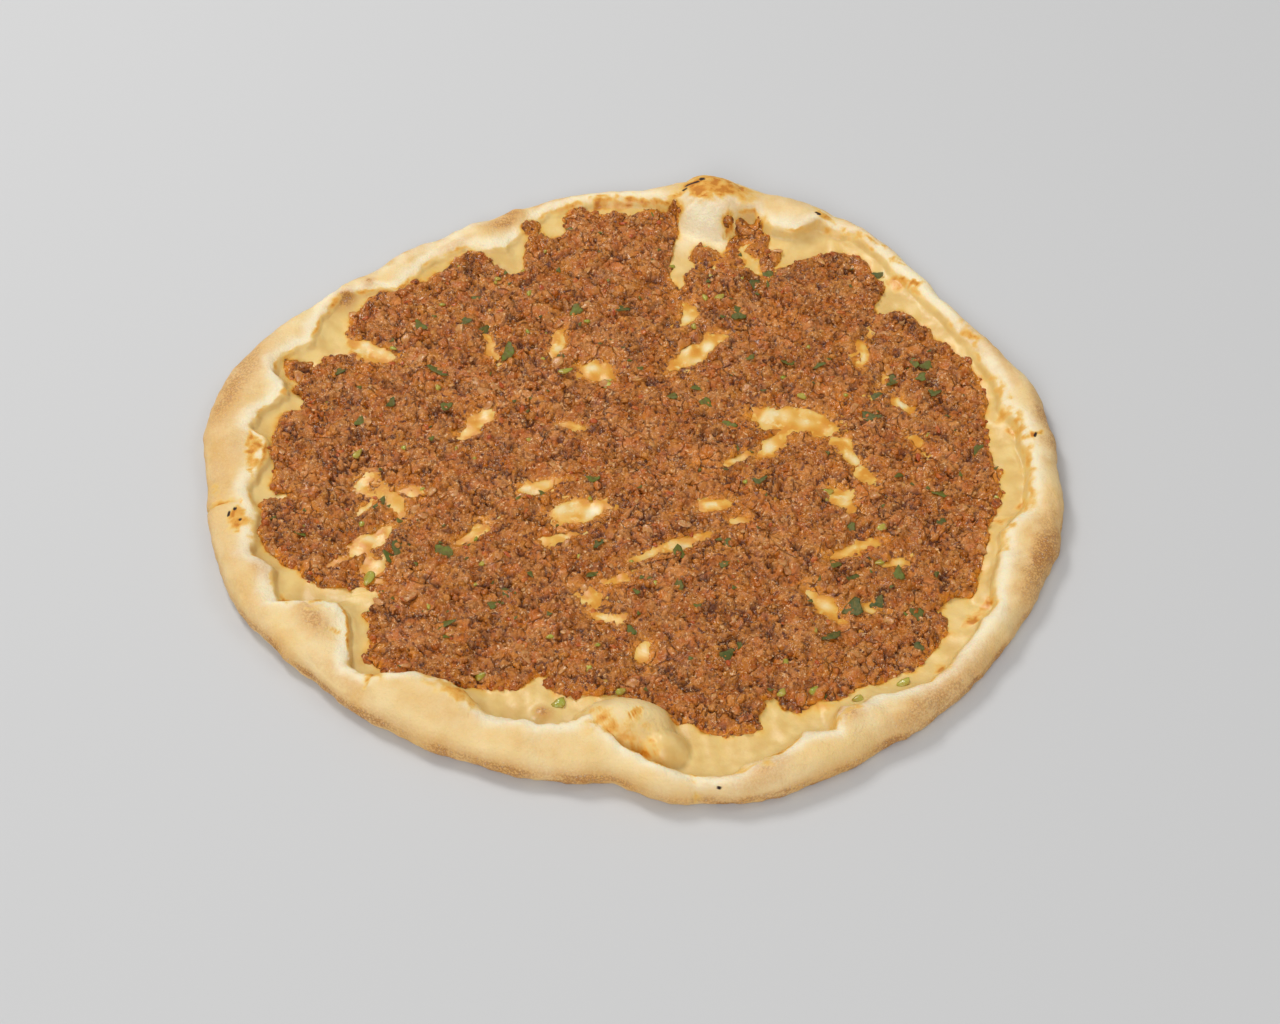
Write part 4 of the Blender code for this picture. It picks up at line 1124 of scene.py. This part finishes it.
pepper_skin, tree, shader = new_finish("pepper_skin", 0.22)
colour = cover(tree, value_of(tree, "tone"), shade(140, 150, 40), shade(196, 188, 84))
colour = cover(tree, speckle(tree, 0.003, 0.35, 0.65), colour, shade(176, 150, 56))
tree.links.new(colour, shader.inputs["Base Color"])
shader.inputs["Subsurface Weight"].default_value = 0.3
shader.inputs["Subsurface Radius"].default_value = (0.6, 1.0, 0.2)
shader.inputs["Subsurface Scale"].default_value = 0.001
tree.links.new(raised(tree, speckle(tree, 0.0014, 0.3, 0.7), 0.0002, 0.5), shader.inputs["Normal"])

random = np.random.default_rng(8)
listed = np.array(PEPPER)
small, _ = on_meat(50, random, 1.0)
spots_x = np.concatenate([listed[:, 0], small[:, 0]])
spots_y = np.concatenate([listed[:, 1], small[:, 1]])
long = np.concatenate([listed[:, 2], random.uniform(1.6, 3.4, len(small))])
wide = np.concatenate([listed[:, 3], random.uniform(1.2, 2.2, len(small))])
heading = np.concatenate([np.radians(listed[:, 4]), random.uniform(0.0, 3.1, len(small))])
top, inside, *_ = meat_surface(spots_x, spots_y)
places = np.column_stack([spots_x, spots_y, np.where(inside > 0.0, top - 0.1, dough_top(spots_x, spots_y) + 0.4)])
sizes = np.column_stack([0.5 * long, 0.5 * wide, random.uniform(0.5, 0.8, len(long))])
pepper = strewn(
    "pepper", ball(12, 6), places, sizes, 0.3, 0.07, pepper_skin, random, lobes=0.12, curl=0.08,
    heading=heading, tone=random.random(len(places)),
)


# ---------------------------------------------------------------- onion and tomato
# Onion and tomato grated into the mince: soft translucent tan shreds and small orange-red
# bits, mixed through the meat and showing at its surface.

onion_flesh, tree, shader = new_finish("onion_flesh", 0.25)
colour = cover(tree, value_of(tree, "tone"), shade(212, 160, 104), shade(208, 148, 74))
colour = cover(tree, speckle(tree, 0.002, 0.35, 0.65), colour, shade(186, 116, 54))
tree.links.new(colour, shader.inputs["Base Color"])
shader.inputs["Subsurface Weight"].default_value = 0.4
shader.inputs["Subsurface Radius"].default_value = (1.0, 0.6, 0.3)
shader.inputs["Subsurface Scale"].default_value = 0.0015
tree.links.new(raised(tree, speckle(tree, 0.0012, 0.3, 0.7), 0.0002, 0.5), shader.inputs["Normal"])

random = np.random.default_rng(9)
places, _ = on_meat(400, random, 0.8)
large = random.random(len(places)) < 0.3
sizes = np.column_stack([
    random.uniform(0.7, 1.6, len(places)) + large * random.uniform(0.6, 2.0, len(places)),
    random.uniform(0.6, 1.2, len(places)) + large * random.uniform(0.4, 1.3, len(places)),
    random.uniform(0.35, 0.6, len(places)),
])
places[:, 2] -= 0.15
onion = strewn(
    "onion", ball(8, 6), places, sizes, 0.5, 0.09, onion_flesh, random, lobes=0.15, curl=0.1,
    tone=random.random(len(places)),
)

tomato_flesh, tree, shader = new_finish("tomato_flesh", 0.25)
colour = cover(tree, value_of(tree, "tone"), shade(192, 92, 30), shade(214, 130, 44))
colour = cover(tree, speckle(tree, 0.002, 0.35, 0.65), colour, shade(172, 70, 22))
tree.links.new(colour, shader.inputs["Base Color"])
tree.links.new(raised(tree, speckle(tree, 0.0012, 0.3, 0.7), 0.0002, 0.5), shader.inputs["Normal"])

random = np.random.default_rng(10)
places, _ = on_meat(160, random, 0.3)
sizes = np.column_stack([
    random.uniform(0.7, 1.9, len(places)), random.uniform(0.5, 1.2, len(places)),
    random.uniform(0.3, 0.6, len(places)),
])
tomato = strewn(
    "tomato", ball(8, 6), places, sizes, 0.5, 0.1, tomato_flesh, random, lobes=0.12, curl=0.1,
    tone=random.random(len(places)),
)
